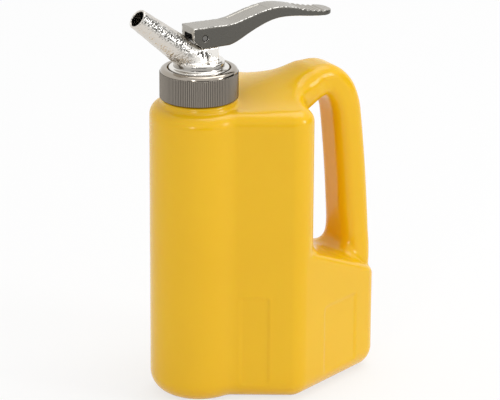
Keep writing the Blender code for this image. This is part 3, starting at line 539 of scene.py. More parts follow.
def cell_faces(solid, number):
    """A face round each grid edge that the surface cuts, turned outwards."""
    faces = []
    for axis in range(3):
        others = [n for n in range(3) if n != axis]
        here = [slice(1, -1)] * 3
        there = [slice(1, -1)] * 3
        here[axis], there[axis] = slice(0, -1), slice(1, None)
        rising = solid[tuple(here)] & ~solid[tuple(there)]
        falling = ~solid[tuple(here)] & solid[tuple(there)]
        for flips, reverse in ((rising, False), (falling, True)):
            edge = np.argwhere(flips)
            edge[:, others] += 1
            quad = []
            for du, dv in ((-1, -1), (0, -1), (0, 0), (-1, 0)):
                corner = edge.copy()
                corner[:, others[0]] += du
                corner[:, others[1]] += dv
                quad.append(number[tuple(corner.T)])
            quad = np.stack(quad, axis=1)
            if reverse != (axis == 1):
                quad = quad[:, ::-1]
            faces.append(quad)
    return np.concatenate(faces)


def settle(field, points, step):
    """Move the points down or up the slope of the field, onto its zero level."""
    nudge = SETTLE_NUDGE * step
    for _ in range(SETTLE_ROUNDS):
        px, py, pz = points.T
        level = field(px, py, pz)
        slope = np.stack([
            field(px + nudge, py, pz) - field(px - nudge, py, pz),
            field(px, py + nudge, pz) - field(px, py - nudge, pz),
            field(px, py, pz + nudge) - field(px, py, pz - nudge),
        ], axis=1) / (2.0 * nudge)
        steep = np.maximum((slope ** 2).sum(axis=1), SETTLE_FLATTEST)
        move = -slope * (level / steep)[:, None]
        length = np.linalg.norm(move, axis=1)
        move *= np.minimum(1.0, SETTLE_REACH * step / np.maximum(length, 1e-9))[:, None]
        points = points + move
    return points


def surface(field, span, step):
    """Points and four-sided faces on the zero level of a field, one point in each mixed cell."""
    margin = GRID_MARGIN * step
    axes = [np.arange(low - margin, high + margin + step, step) for low, high in zip(*span)]
    shape = tuple(len(axis) for axis in axes)
    x, y, z = axes[0][:, None, None], axes[1][None, :, None], axes[2][None, None, :]
    values = np.ascontiguousarray(np.broadcast_to(field(x, y, z), shape), dtype=np.float32)
    solid = values < 0.0
    cell, number = mixed_cells(solid)
    start = np.array([axis[0] for axis in axes])
    points = start + cell_points(values, cell) * step
    return settle(field, points, step), cell_faces(solid, number)


def add_object(name, data):
    item = bpy.data.objects.new(name, data)
    bpy.context.scene.collection.objects.link(item)
    return item


def new_piece(name, points, faces, body, materials, replaced=(), choose=None):
    """Make a smooth mesh piece from points in millimetres, and say what it rides on."""
    faces = np.asarray(faces, np.int64)
    sides = faces.shape[1]
    mesh = bpy.data.meshes.new(name)
    mesh.vertices.add(len(points))
    mesh.vertices.foreach_set("co", (np.asarray(points) * MM).astype(np.float32).ravel())
    mesh.loops.add(faces.size)
    mesh.loops.foreach_set("vertex_index", faces.ravel().astype(np.int32))
    mesh.polygons.add(len(faces))
    mesh.polygons.foreach_set("loop_start", np.arange(0, faces.size, sides, dtype=np.int32))
    mesh.update(calc_edges=True)
    mesh.validate()
    mesh.shade_smooth()
    for material in materials:
        mesh.materials.append(material)
    if choose is not None:
        centres = np.asarray(points)[faces].mean(axis=1)
        mesh.polygons.foreach_set("material_index", choose(centres).astype(np.int32))
    piece = add_object(name, mesh)
    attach(piece, body)
    if replaced:
        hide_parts(*replaced)


def revolve(rows, steps, relief):
    """Points and faces of a closed turned shape. Each row is (radius, z, kind)."""
    angles = np.arange(steps) * math.tau / steps
    points = []
    for radius, z, kind in rows:
        r = radius + relief(angles, z, kind)
        points.append(np.stack([r * np.cos(angles), r * np.sin(angles), np.full(steps, z)], 1))
    count = len(rows)
    index = np.arange(count * steps).reshape(count, steps)
    below = np.roll(index, -1, axis=0)
    faces = np.stack([
        index, np.roll(index, -1, axis=1), np.roll(below, -1, axis=1), below,
    ], axis=-1).reshape(-1, 4)
    return np.concatenate(points), faces[:, ::-1]


def turn_arc(centre, radii, start, end, steps):
    """Rows on an arc of an ellipse in the (radius, z) plane."""
    for i in range(steps + 1):
        angle = math.radians(start + (end - start) * i / steps)
        yield (centre[0] + radii[0] * math.cos(angle), centre[1] + radii[1] * math.sin(angle), "")


def helix_rib(angles, z, start, turns):
    """Height of a rounded right-hand rib at each angle, on a wall at height z."""
    total = np.zeros_like(angles)
    for lap in range(int(math.ceil(turns)) + 1):
        along = angles / math.tau + lap
        centre = start + along * THREAD_PITCH
        fade = ramp(along, 0.0, THREAD_RUN_OUT)
        fade = fade * (1.0 - ramp(along, turns - THREAD_RUN_OUT, turns))
        shape = np.maximum(1.0 - ((z - centre) / THREAD_HALF_WIDTH) ** 2, 0.0)
        total = np.maximum(total, THREAD_HEIGHT * np.sqrt(shape) * fade)
    return total


# Plan of the can: the near half is at -Y, and the far half mirrors it
CREASE = unit(CREASE_ANGLE - 90.0) * FRONT_R
FLANK_DIR = unit(-FLANK_ANGLE)
FLANK_OUT = unit(-FLANK_ANGLE - 90.0)
SIDE_CORNER = CREASE + FLANK_DIR * (
    (FLANK_HALF_WIDTH + CREASE[1]) / math.sin(math.radians(FLANK_ANGLE))
)
TAIL_CORNER = np.array((TAIL_X, -TAIL_HALF_WIDTH))
TAIL_DIR = (TAIL_CORNER - SIDE_CORNER) / np.linalg.norm(TAIL_CORNER - SIDE_CORNER)
TAIL_OUT = np.array((TAIL_DIR[1], -TAIL_DIR[0]))


def crossing(p, u, q, v):
    """Where two lines in the plane meet, each given by a point and a direction."""
    return p + u * ((v[0] * (q - p)[1] - (q - p)[0] * v[1]) / (v[0] * u[1] - u[0] * v[1]))


FLANK_INNER = CREASE - FLANK_OUT * FLANK_CORNER_R
TAIL_INNER = SIDE_CORNER - TAIL_OUT * FLANK_CORNER_R
CORNER_CENTRE = crossing(FLANK_INNER, FLANK_DIR, TAIL_INNER, TAIL_DIR)
TAIL_CENTRE = crossing(
    TAIL_INNER, TAIL_DIR, np.array((TAIL_X - FLANK_CORNER_R, 0.0)), np.array((0.0, 1.0)),
)


def both_sides(near):
    """A convex outline that is the same at -Y and +Y, going round to the left."""
    return [tuple(p) for p in near] + [(p[0], -p[1]) for p in reversed(near)]


def body_outline():
    """Centres of the rounding round the flanks and the rear, inside the real outline."""
    lean = math.cos(math.radians(REAR_WALL_ANGLE))
    rear_x = (CORNER_CENTRE @ unit(-REAR_WALL_ANGLE) + FLANK_CORNER_R) / lean
    nose_x = rear_x - REAR_NOSE_R / lean
    spare = REAR_NOSE_R - FLANK_CORNER_R
    near = [FLANK_INNER - FLANK_DIR * FLANK_OVERLAP, CORNER_CENTRE]
    near += [np.array((nose_x, 0.0)) + unit(turn) * spare for turn in REAR_NOSE_TURNS]
    return both_sides(near)


BODY_HULL = body_outline()
TAIL_HULL = both_sides([
    CORNER_CENTRE - np.array((TAIL_OVERLAP, -TAIL_OVERLAP)), CORNER_CENTRE, TAIL_CENTRE,
])
HANDLE_LINE = list(smooth_rows(HANDLE, HANDLE_STEPS))

# blank panels: corner and directions of their wall, middle, width, length, height and depth
PANELS = (
    (CREASE, FLANK_DIR, FLANK_OUT, LABEL_DISTANCE, LABEL_WIDE, LABEL_LONG, LABEL_Z, LABEL_DEPTH),
    (SIDE_CORNER, TAIL_DIR, TAIL_OUT, TAIL_PANEL_DISTANCE + TAIL_PANEL_WIDE / 2.0,
     TAIL_PANEL_WIDE, TAIL_PANEL_LONG, TAIL_PANEL_Z, TAIL_PANEL_DEPTH),
)


def crown_field(x, side, z, body, shoulder):
    """The bank between the neck and the handle."""
    run = (x - CROWN_FROM + np.hypot(x - CROWN_FROM, CROWN_ONSET)) / 2.0
    rise = np.minimum(run / CROWN_RUN, 1.0) ** CROWN_POWER
    fall = (np.hypot(side, CROWN_LEVEL) - CROWN_LEVEL) / (CROWN_FOOT - CROWN_LEVEL)
    top = shoulder - CROWN_SINK + CROWN_RISE * rise * np.maximum(1.0 - fall, 0.0)
    strip = round_meet(
        -side - CROWN_STRIP_HALF_WIDTH, between(x, *CROWN_STRIP), CROWN_STRIP_EDGE
    )
    plan = soft_join(body + CROWN_INSET, strip, CROWN_FLARE)
    half = CROWN_THICK / 2.0
    return round_meet(plan, np.abs(z - top + half) - half, CROWN_EDGE)


def block_field(x, side, z, body, shoulder):
    """The can's body, with the tail and its shelf behind."""
    whole = np.minimum(body, outline(x, side, TAIL_HULL) - FLANK_CORNER_R)
    upper = round_meet(round_meet(body, -z, BASE_FILLET), z - shoulder, SHOULDER_FILLET)
    slope = math.hypot(1.0, SHELF_SLOPE)
    shelf = (z - SHELF_Z + SHELF_SLOPE * (x - SHELF_X)) / slope
    lower = round_meet(round_meet(whole, -z, BASE_FILLET), shelf, SHELF_FILLET)
    # the flanks and the base of the two parts are one wall, so their blend fades out towards it
    inward = ramp(-whole, 0.0, SHELF_BLEND_DEPTH)
    return soft_join(upper, lower, SHELF_BLEND * inward * ramp(z, *SHELF_BLEND_LEVELS))


def handle_blend(x, z):
    """How widely the handle runs into the can, at its top and at its foot."""
    at_top = HANDLE_BLEND + HANDLE_TOP_BLEND * ramp(x, *HANDLE_TOP_OVER)
    at_foot = HANDLE_BLEND + HANDLE_FOOT_BLEND * (1.0 - ramp(x, *HANDLE_FOOT_OVER))
    return at_foot + (at_top - at_foot) * ramp(z, *HANDLE_LEVELS)


def cut_panels(can, x, side, z):
    for start, way, out, middle, wide, long, height, depth in PANELS:
        along = (x - start[0]) * way[0] + (side - start[1]) * way[1]
        above = (x - start[0]) * out[0] + (side - start[1]) * out[1]
        panel = rounded_box(along - middle, z - height, wide / 2.0, long / 2.0, PANEL_CORNER)
        can = soft_cut(can, np.maximum(panel, -depth - above), PANEL_BLEND)
    return can


def can_field(x, y, z):
    side = -np.abs(y)
    r = np.hypot(x, y)
    shoulder = CAN_HEIGHT - SHOULDER_DROP * ramp(-y, *SHOULDER_DROP_OVER)
    body = soft_join(r - FRONT_R, outline(x, side, BODY_HULL) - FLANK_CORNER_R, CREASE_BLEND)
    can = block_field(x, side, z, body, shoulder)
    crown = crown_field(x, side, z, body, shoulder)
    can = soft_join(can, crown, CROWN_BLEND * ramp(x, *CROWN_BLEND_OVER))
    can = soft_join(can, swept(x, y, z, HANDLE_LINE), handle_blend(x, z))
    collar = round_meet(r - COLLAR_R, z - COLLAR_TOP, COLLAR_EDGE)
    can = soft_join(can, np.maximum(collar, shoulder - COLLAR_ROOT - z), COLLAR_BLEND)
    can = cut_panels(can, x, side, z)
    well = np.maximum(r - NECK_BORE_R, NECK_BORE_BOTTOM - z)
    return np.maximum(can, -well)


def neck_relief(angles, z, kind):
    if kind == "thread":
        return helix_rib(angles, z, THREAD_START, NECK_THREAD_TURNS)
    return 0.0 * angles


def build_can(material):
    points, faces = surface(can_field, CAN_SPAN, CAN_GRID)
    new_piece("can_shell", points, faces, "can", [material], ("can_body",))

    edge = (NECK_EDGE, NECK_EDGE)
    rim = NECK_TOP - NECK_EDGE
    rows = [(NECK_BORE_R, rim, "")]
    rows += turn_arc((NECK_BORE_R + NECK_EDGE, rim), edge, 180.0, 90.0, 3)
    rows += turn_arc((NECK_R - NECK_EDGE, rim), edge, 90.0, 0.0, 3)
    levels = np.arange(NECK_TOP - NECK_PLAIN, COLLAR_TOP - NECK_REACH[0], -NECK_ROW)
    rows += [(NECK_R, z, "thread") for z in levels]
    rows += [(NECK_BORE_R - BORE_DRAFT, COLLAR_TOP - NECK_REACH[1], "")]
    points, faces = revolve(rows, NECK_SIDES, neck_relief)
    new_piece("can_neck", points, faces, "can", [material])


def nut_relief(angles, z, kind):
    if kind == "knurl":
        tooth = np.abs((angles * KNURL_TEETH / math.tau) % 1.0 - 0.5) * 2.0
        return -KNURL_DEPTH * (1.0 - tooth) ** KNURL_POINT
    if kind == "thread":
        return -helix_rib(angles, z, THREAD_START + THREAD_PITCH / 2.0, NUT_THREAD_TURNS)
    return 0.0 * angles


def on_knurl(centres):
    """Which faces of the nut, by their centres, are on its knurled band."""
    r = np.hypot(centres[:, 0], centres[:, 1])
    core = NUT_R - KNURL_DEPTH
    return (r > core - KNURL_LOOK[0]) & (centres[:, 2] < KNURL_TOP + KNURL_LOOK[1])


def build_nut(polished, knurled):
    core = NUT_R - KNURL_DEPTH
    edge = (NUT_LIP_EDGE, NUT_LIP_EDGE)
    # from the lip over the shoulder
    rows = [(NUT_LIP_R, LIP_UNDERSIDE, ""), (NUT_LIP_R, NUT_TOP - NUT_LIP_LINE, "")]
    rows += turn_arc((NUT_LIP_R + NUT_LIP_EDGE, NUT_TOP - NUT_LIP_EDGE), edge, 180.0, 90.0, 3)
    rows += [(NUT_LIP_R + NUT_FLAT[0], NUT_TOP, "")]
    centre = (NUT_LIP_R + NUT_FLAT[1], NUT_TOP - NUT_SHOULDER[1])
    rows += turn_arc(centre, NUT_SHOULDER, 88.0, 4.0, 9)
    # down the knurl
    rows += [(core, KNURL_TOP + KNURL_LEDGE[1], ""), (core + KNURL_LEDGE[0], KNURL_TOP, "")]
    levels = [KNURL_TOP - drop for drop in KNURL_TOP_ROWS]
    top, bottom = KNURL_TOP - KNURL_MIDDLE[0], NUT_BOTTOM + KNURL_MIDDLE[1]
    levels += list(np.linspace(top, bottom, KNURL_MIDDLE_ROWS))
    rows += [(NUT_R, z, "knurl") for z in levels + [NUT_BOTTOM + KNURL_FOOT]]
    # round the bottom edge
    rows += [(core, NUT_BOTTOM + NUT_FOOT[1], ""), (core - NUT_FOOT[0], NUT_BOTTOM, "")]
    rows += [(NUT_BORE_R + NUT_BORE_EDGE, NUT_BOTTOM, "")]
    # up the thread
    levels = np.arange(NUT_BOTTOM + NUT_BORE_EDGE, LIP_UNDERSIDE, NUT_THREAD_ROW)
    rows += [(NUT_BORE_R, z, "thread") for z in levels]
    rows += [(NUT_BORE_R - BORE_DRAFT, LIP_UNDERSIDE, "")]
    points, faces = revolve(rows, KNURL_TEETH * SIDES_PER_TOOTH, nut_relief)
    new_piece("union_nut", points, faces, "cap", [polished, knurled],
              ("cap_nut",), on_knurl)


def pedestal_field(x, y, z):
    half_x = (PEDESTAL_X + PEDESTAL_FRONT) / 2.0
    mid_x = PEDESTAL_X - half_x
    upper = rounded_box(x - mid_x, y, half_x, PEDESTAL_HALF_WIDTH, PEDESTAL_EDGE)
    upper = round_meet(upper, np.abs(z - (PEDESTAL_TOP + PEDESTAL_STEP) / 2.0)
                       - (PEDESTAL_TOP - PEDESTAL_STEP) / 2.0, PEDESTAL_TOP_EDGE)
    trim = PEDESTAL_UNDERCUT
    lower = rounded_box(x - mid_x, y, half_x - trim, PEDESTAL_HALF_WIDTH - trim, PEDESTAL_EDGE)
    lower = np.maximum(lower, np.maximum(z - PEDESTAL_TOP + PEDESTAL_COVER, STEP_TOP - z))
    return soft_join(upper, lower, PEDESTAL_BLEND)


def tap_rings(r, z):
    """The turned parts of the casting: spigot, flange, step and boss."""
    top = FLANGE_BOTTOM + SPIGOT_OVERLAP
    spigot = turned_slab(r, z, SPIGOT_R, SPIGOT_BOTTOM, top, SPIGOT_EDGE)
    flange = turned_slab(r, z, FLANGE_R, FLANGE_BOTTOM, FLANGE_TOP, FLANGE_EDGE)
    step = turned_slab(r, z, STEP_R, FLANGE_BOTTOM, STEP_TOP, STEP_EDGE)
    boss = turned_slab(r, z, BOSS_R, FLANGE_BOTTOM, BOSS_TOP, BOSS_EDGE)
    return join(spigot, flange, soft_join(step, boss, STEP_BLEND))


def casting_skin(x, y, z):
    """How far the uneven skin of the casting stands out."""
    skin = SKIN_COARSE[0] * lumps(x, y, z, SKIN_COARSE[1])
    skin = skin + SKIN_FINE[0] * lumps(y, z, x, SKIN_FINE[1])
    return ramp(z, *SKIN_LEVELS) * skin


def spout_field(along, across, skin):
    """The slanted spout, by the place along its axis and the distance from it."""
    taper = (SPOUT_BASE_R - SPOUT_TIP_R) / (SPOUT_LENGTH - SPOUT_BASE_AT)
    radius = SPOUT_TIP_R + taper * np.clip(SPOUT_LENGTH - along, 0.0, SPOUT_LENGTH)
    spout = round_meet(across - radius, along - SPOUT_LENGTH, SPOUT_TIP_EDGE)
    spout = np.maximum(spout, SPOUT_START - along)
    return spout - SKIN_ON_SPOUT * skin * ramp(SPOUT_LENGTH - along, 0.0, SKIN_FREE_TIP)


def tap_field(x, y, z):
    r = np.hypot(x, y)
    lean = math.radians(SPOUT_ANGLE)
    along = -x * math.cos(lean) + (z - SPOUT_AXIS_Z) * math.sin(lean)
    above = x * math.sin(lean) + (z - SPOUT_AXIS_Z) * math.cos(lean)
    across = np.hypot(above, y)
    skin = casting_skin(x, y, z)
    spout = spout_field(along, across, skin)
    cast = soft_join(spout, pedestal_field(x, y, z) - skin, SPOUT_BLEND)
    tap = soft_join(tap_rings(r, z), cast, CASTING_BLEND)
    hollows = join(
        np.maximum(across - SPOUT_BORE_R, SPOUT_LENGTH - SPOUT_BORE_LENGTH - along),
        np.maximum(np.hypot(above + PORT_DROP, y) - PORT_R, between(along, *PORT_SPAN)),
        np.maximum(r - SEAT_POCKET_R, z - SEAT_POCKET_TOP),
        np.maximum(r - SNAP_RING_R, between(z, *SNAP_RING_LEVELS)),
        np.maximum(r - CHAMBER_R, z - CHAMBER_TOP),
        np.maximum(r - STEM_HOLE_R, -z),
        np.maximum(r - GUIDE_R, GUIDE_BOTTOM - z),
    )
    return soft_cut(tap, hollows, BORE_EDGE)


def build_tap(material):
    points, faces = surface(tap_field, TAP_SPAN, TAP_GRID)
    new_piece("tap_casting", points, faces, "tap", [material], ("tap_body",))


TOP_CURVE = [LEVER_TOP_LINE[0]] + list(smooth_rows(LEVER_TOP_LINE[1:], LEVER_STEPS))
UNDER_CURVE = list(smooth_rows(LEVER_UNDER_LINE[:-2], LEVER_STEPS)) + list(LEVER_UNDER_LINE[-2:])
LEVER_SIDE = TOP_CURVE + UNDER_CURVE


def lever_top(x):
    """Height of the lever's top line above the pin."""
    return np.interp(x, [p[0] for p in TOP_CURVE], [p[1] for p in TOP_CURVE])


def lever_plan(x, y):
    """Straight sides and a blunt tip."""
    flat = LEVER_TIP_X - LEVER_TIP_R
    blunt = rounded_box(x - flat + LEVER_BLUNT_HALF, y, LEVER_BLUNT_HALF + LEVER_TIP_R,
                        LEVER_HALF_WIDTH, LEVER_TIP_R)
    return np.where(x > flat - LEVER_BLUNT_FROM, blunt, np.abs(y) - LEVER_HALF_WIDTH)


def lever_hollows(x, y, h):
    """The channel underneath with its mouth at the front, and the pin's hole."""
    front_x = LEVER_TOP_LINE[0][0] + CHANNEL_LIP
    walls = np.abs(y) - CHANNEL_HALF_WIDTH
    ceiling = np.maximum(lever_top(x) - CHANNEL_WEB, CHANNEL_TOP)
    ceiling = np.where(x < LEVER_LABEL_FROM, CHANNEL_TOP, ceiling)
    channel = np.maximum(np.maximum(h - ceiling, walls), between(x, front_x, CHANNEL_REAR))
    mouth = np.maximum(np.maximum(h - CHANNEL_LIP_Z, walls), x - front_x - CHANNEL_MOUTH)
    return join(channel, mouth, np.hypot(x, h) - PIN_HOLE_R)


def lever_label(x, y, h):
    """The blank recess for a label."""
    middle = (LEVER_LABEL_FROM + LEVER_LABEL_TO) / 2.0
    half = (LEVER_LABEL_TO - LEVER_LABEL_FROM) / 2.0
    label = rounded_box(x - middle, y, half, LEVER_LABEL_HALF_WIDTH, LEVER_LABEL_CORNER)
    return np.maximum(label, lever_top(x) - LEVER_LABEL_DEPTH - h)


def lever_field(x, y, z):
    h = z - PIN_Z
    lever = round_meet(outline(x, h, LEVER_SIDE), lever_plan(x, y), LEVER_EDGE)
    lever = soft_cut(lever, lever_hollows(x, y, h), CHANNEL_EDGE)
    lever = soft_cut(lever, lever_label(x, y, h), LEVER_LABEL_EDGE)
    for i in range(SERRATION_COUNT):
        at = SERRATION_FROM + SERRATION_PITCH * i
        groove = np.hypot(x - at, h - lever_top(at) + SERRATION_SINK - SERRATION_R) - SERRATION_R
        lever = soft_cut(lever, groove, SERRATION_EDGE)
    return lever


def build_lever(material):
    points, faces = surface(lever_field, LEVER_SPAN, LEVER_GRID)
    new_piece("squeeze_lever", points, faces, "lever", [material], ("lever",))


def build_spring(material):
    """The return spring, which in the real tap shortens as the stem rises under it; here the CAD
    part's coil is copied as it is.
    """
    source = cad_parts["return_spring"]
    coil = source.data.copy()
    coil.transform(source.matrix_world)
    coil.materials.clear()
    coil.materials.append(material)
    spring = add_object("coil_spring", coil)
    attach(spring, "tap")
    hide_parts("return_spring")
    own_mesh(spring)


# Materials: a value given to a node is a number, a colour or another node's output

def feed(tree, socket, value):
    if isinstance(value, bpy.types.NodeSocket):
        tree.links.new(value, socket)
    else:
        socket.default_value = value


def add_node(tree, kind, inputs, **settings):
    node = tree.nodes.new("ShaderNode" + kind)
    for name, value in settings.items():
        setattr(node, name, value)
    for key, value in inputs.items():
        feed(tree, node.inputs[key], value)
    return node


def material_tree(name, colour, metallic, roughness):
    material = bpy.data.materials.new(name)
    material.use_nodes = True
    tree = material.node_tree
    shader = tree.nodes["Principled BSDF"]
    shader.inputs["Base Color"].default_value = (*colour, 1.0)
    shader.inputs["Metallic"].default_value = metallic
    shader.inputs["Roughness"].default_value = roughness
    return material, tree, shader


def coordinates(tree, kind):
    """X, Y and Z of the piece's own coordinates, or of the direction that it faces there."""
    place = add_node(tree, "TexCoord", {})
    return add_node(tree, "SeparateXYZ", {"Vector": place.outputs[kind]}).outputs


def calculate(tree, operation, *values):
    return add_node(tree, "Math", dict(enumerate(values)), operation=operation).outputs["Value"]


def add_noise(tree, scale, detail=3.0, roughness=0.5, stretch=None):
    """A noise texture in the piece's own coordinates, in features per metre."""
    source = add_node(tree, "TexCoord", {}).outputs["Object"]
    if stretch is not None:
        mapping = add_node(tree, "Mapping", {"Vector": source, "Scale": stretch})
        source = mapping.outputs["Vector"]
    noise = add_node(tree, "TexNoise", {
        "Vector": source, "Scale": scale, "Detail": detail, "Roughness": roughness,
    })
    return noise.outputs["Fac"]


def spread(tree, factor, low, high, start=NOISE_SPAN[0], end=NOISE_SPAN[1], clamp=False):
    """Turn the numbers from start to end into the numbers from low to high."""
    return add_node(tree, "MapRange", {
        "Value": factor, "From Min": start, "From Max": end, "To Min": low, "To Max": high,
    }, clamp=clamp).outputs["Result"]


def share(tree, factor, start, end):
    """0 up to start and 1 from end on."""
    return spread(tree, factor, 0.0, 1.0, start, end, True)


def mix_colour(tree, factor, first, second):
    first, second = ((*v, 1.0) if isinstance(v, tuple) else v for v in (first, second))
    node = add_node(
        tree, "Mix", {0: factor, 6: first, 7: second}, data_type="RGBA", clamp_factor=False
    )
    return node.outputs[2]


def add_bump(tree, shader, height, strength, distance, below=None):
    inputs = {"Strength": strength, "Distance": distance, "Height": height}
    if below is not None:
        inputs["Normal"] = below
    normal = add_node(tree, "Bump", inputs).outputs["Normal"]
    tree.links.new(normal, shader.inputs["Normal"])
    return normal


def vary_gloss(tree, shader, noise, low, high):
    """Let the roughness run between two values."""
    tree.links.new(spread(tree, noise, low, high), shader.inputs["Roughness"])


def yellow_plastic():
    """Blow-moulded polyethylene: satin, a little uneven in colour, with a faint orange peel."""
    material, tree, shader = material_tree("yellow_plastic", *YELLOW_PLASTIC)
    cloud = spread(tree, add_noise(tree, 14.0), 0.0, 1.0)
    tree.links.new(mix_colour(tree, cloud, *YELLOW_TONES), shader.inputs["Base Color"])
    vary_gloss(tree, shader, add_noise(tree, 60.0, detail=1.0), 0.19, 0.25)
    wave = add_noise(tree, 40.0, detail=0.0)
    below = add_bump(tree, shader, wave, strength=0.12, distance=0.001)
    peel = add_noise(tree, 900.0, detail=2.0)
    add_bump(tree, shader, peel, strength=0.18, distance=0.00012, below=below)
    shader.inputs["Specular IOR Level"].default_value = 0.36
    shader.inputs["Subsurface Weight"].default_value = 0.2
    shader.inputs["Subsurface Radius"].default_value = (0.008, 0.004, 0.0006)
    shader.inputs["Subsurface Scale"].default_value = 1.0
    return material


def polished_nickel():
    """The nut's lip and shoulder: bright, with faint waves."""
    material, tree, shader = material_tree("polished_nickel", *POLISHED_NICKEL)
    vary_gloss(tree, shader, add_noise(tree, 350.0), 0.07, 0.16)
    wave = add_noise(tree, 160.0, detail=2.0)
    add_bump(tree, shader, wave, strength=0.15, distance=0.0004)
    return material


def knurled_nickel():
    """The nut's knurled band: pale crests, and painted shade darkening the grooves between them.
    """
    material, tree, shader = material_tree("knurled_nickel", *KNURLED_NICKEL)
    place = add_node(tree, "TexCoord", {}).outputs["Object"]
    flat = add_node(tree, "VectorMath", {0: place, 1: (1.0, 1.0, 0.0)}, operation="MULTIPLY")
    radius = add_node(tree, "VectorMath", {0: flat.outputs["Vector"]}, operation="LENGTH")
    # painted shade: the tone darkens from the crests down into the grooves
    crest = share(tree, radius.outputs["Value"], (NUT_R - KNURL_DEPTH) * MM, NUT_R * MM)
    tree.links.new(mix_colour(tree, crest, *KNURL_GROOVE_SHADE_TONES), shader.inputs["Base Color"])
    grain = add_noise(tree, 1500.0, detail=2.0)
    add_bump(tree, shader, grain, strength=0.06, distance=0.0001)
    return material


def cast_nickel():
    """Plated casting: turned rings below, with painted light on their upward faces and painted
    shade on their sides, and a pitted skin above with dark flecks on the upper flanks of the
    spout."""
    material, tree, shader = material_tree("cast_nickel", *CAST_NICKEL)
    at = coordinates(tree, "Object")
    facing = coordinates(tree, "Normal")
    cast = share(tree, at["Z"], *(z * MM for z in SKIN_FROM_Z))
    flank = share(tree, calculate(tree, "ABSOLUTE", facing["Y"]), *FLANK_FACING)
    # how far a wall faces up, square to the spout
    upward = calculate(
        tree, "ADD", calculate(tree, "MULTIPLY", facing["X"], SPOUT_UPWARD[0]),
        calculate(tree, "MULTIPLY", facing["Z"], SPOUT_UPWARD[1]),
    )
    raised = share(tree, upward, *RAISED_FACING)
    ahead = spread(tree, at["X"], 1.0, 0.0, *(x * MM for x in SMOOTHER_FROM_X), True)
    band = calculate(
        tree, "MULTIPLY", calculate(tree, "MULTIPLY", flank, raised),
        calculate(tree, "MULTIPLY", ahead, cast),
    )
    flecks = share(tree, add_noise(tree, 950.0, detail=2.0), *FLECK_SHARE)
    # painted light and shade: the rings are paler where they face up, darker on their sides
    level = share(tree, facing["Z"], *RING_LIGHT_FACING)
    skin = mix_colour(
        tree, cast, mix_colour(tree, level, *RING_SHADE_AND_LIGHT_TONES), mix_colour(tree, ahead, *SKIN_TONES)
    )
    tone = mix_colour(tree, band, skin, mix_colour(tree, flecks, *FLECK_TONES))
    tree.links.new(tone, shader.inputs["Base Color"])
    vary_gloss(tree, shader, add_noise(tree, 600.0), 0.09, 0.18)
    waves = add_noise(tree, 400.0, detail=1.0)
    below = add_bump(tree, shader, waves, strength=0.10, distance=0.0006)
    strength = calculate(tree, "MULTIPLY", cast, spread(tree, ahead, *SKIN_STRENGTH, 0.0, 1.0))
    pits = add_noise(tree, 850.0, detail=1.0)
    add_bump(tree, shader, pits, strength, distance=0.0011, below=below)
    return material


def satin_nickel():
    """The lever: painted shade on its sides, standing in for their dark reflection, and a paler
    top with a chipped burr along its edges.
    """
    material, tree, shader = material_tree("satin_nickel", *SATIN_NICKEL)
    sideways = calculate(tree, "ABSOLUTE", coordinates(tree, "Normal")["Y"])
    uneven = add_noise(tree, 420.0, detail=4.0)
    shaken = calculate(tree, "MULTIPLY_ADD", uneven, LEVER_SIDE_UNEVEN, sideways)
    # painted shade: walls that face sideways take the dark side tone
    side = share(tree, shaken, *LEVER_SHADE_FACING)
    outward = calculate(tree, "ABSOLUTE", coordinates(tree, "Object")["Y"])
    edge = share(tree, outward, *((LEVER_HALF_WIDTH - inside) * MM for inside in BURR_INSIDE))
    chips = share(tree, add_noise(tree, 1100.0, detail=2.0), *CHIP_SHARE)
    top = mix_colour(tree, edge, LEVER_TOP_TONE, mix_colour(tree, chips, *BURR_TONES))
    tone = mix_colour(tree, side, top, LEVER_SIDE_SHADE_TONE)
    tree.links.new(tone, shader.inputs["Base Color"])
    vary_gloss(tree, shader, add_noise(tree, 450.0), 0.26, 0.42)
    grain = add_noise(tree, 700.0, detail=3.0)
    add_bump(tree, shader, grain, strength=0.35, distance=0.0004)
    return material


def turned_metal(name, colour, roughness):
    """Brass or steel with fine turning lines."""
    material, tree, shader = material_tree(name, colour, 1.0, roughness)
    lines = add_noise(tree, 900.0, detail=2.0, stretch=(0.15, 0.15, 1.6))
    vary_gloss(tree, shader, lines, roughness * 0.8, roughness * 1.25)
    add_bump(tree, shader, lines, strength=0.2, distance=0.0001)
    return material


def dull_material(name, colour, roughness, grain):
    """Rubber or sealing fibre with a fine grain."""
    material, tree, shader = material_tree(name, colour, 0.0, roughness)
    noise = add_noise(tree, grain)
    dark = tuple(channel * 0.8 for channel in colour)
    tone = mix_colour(tree, spread(tree, noise, 0.0, 1.0), dark, colour)
    tree.links.new(tone, shader.inputs["Base Color"])
    add_bump(tree, shader, noise, strength=0.3, distance=0.0002)
    return material


build_can(yellow_plastic())
build_nut(polished_nickel(), knurled_nickel())
build_tap(cast_nickel())
build_lever(satin_nickel())

BRASS = turned_metal("turned_brass", (0.72, 0.52, 0.22), roughness=0.3)
STEEL = turned_metal("turned_steel", (0.55, 0.55, 0.56), roughness=0.28)
PIN_STEEL = turned_metal("pin_steel", (0.17, 0.165, 0.155), roughness=0.34)
RUBBER = dull_material("moulded_rubber", (0.03, 0.03, 0.03), roughness=0.7, grain=800.0)
SEALING = dull_material("sealing_fibre", (0.75, 0.73, 0.68), roughness=0.65, grain=1200.0)
KEPT = (
    (SEALING, "white_seal", ("neck_seal",)),
    (BRASS, "brass", ("slip_ring", "valve_seat", "valve_disc", "disc_nut", "stem_bush")),
    (RUBBER, "black_rubber", ("seat_o_ring", "disc_seal", "stem_o_ring")),
    (STEEL, "stainless_steel", ("valve_stem", "arrester_screen", "arrester_ring")),
    (PIN_STEEL, "stainless_steel", ("lever_pin",)),
)
build_spring(STEEL)
for material, slot, names in KEPT:
    for name in names:
        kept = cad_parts[name]
        kept.data.materials.clear()
        kept.data.materials.append(material)


# Studio

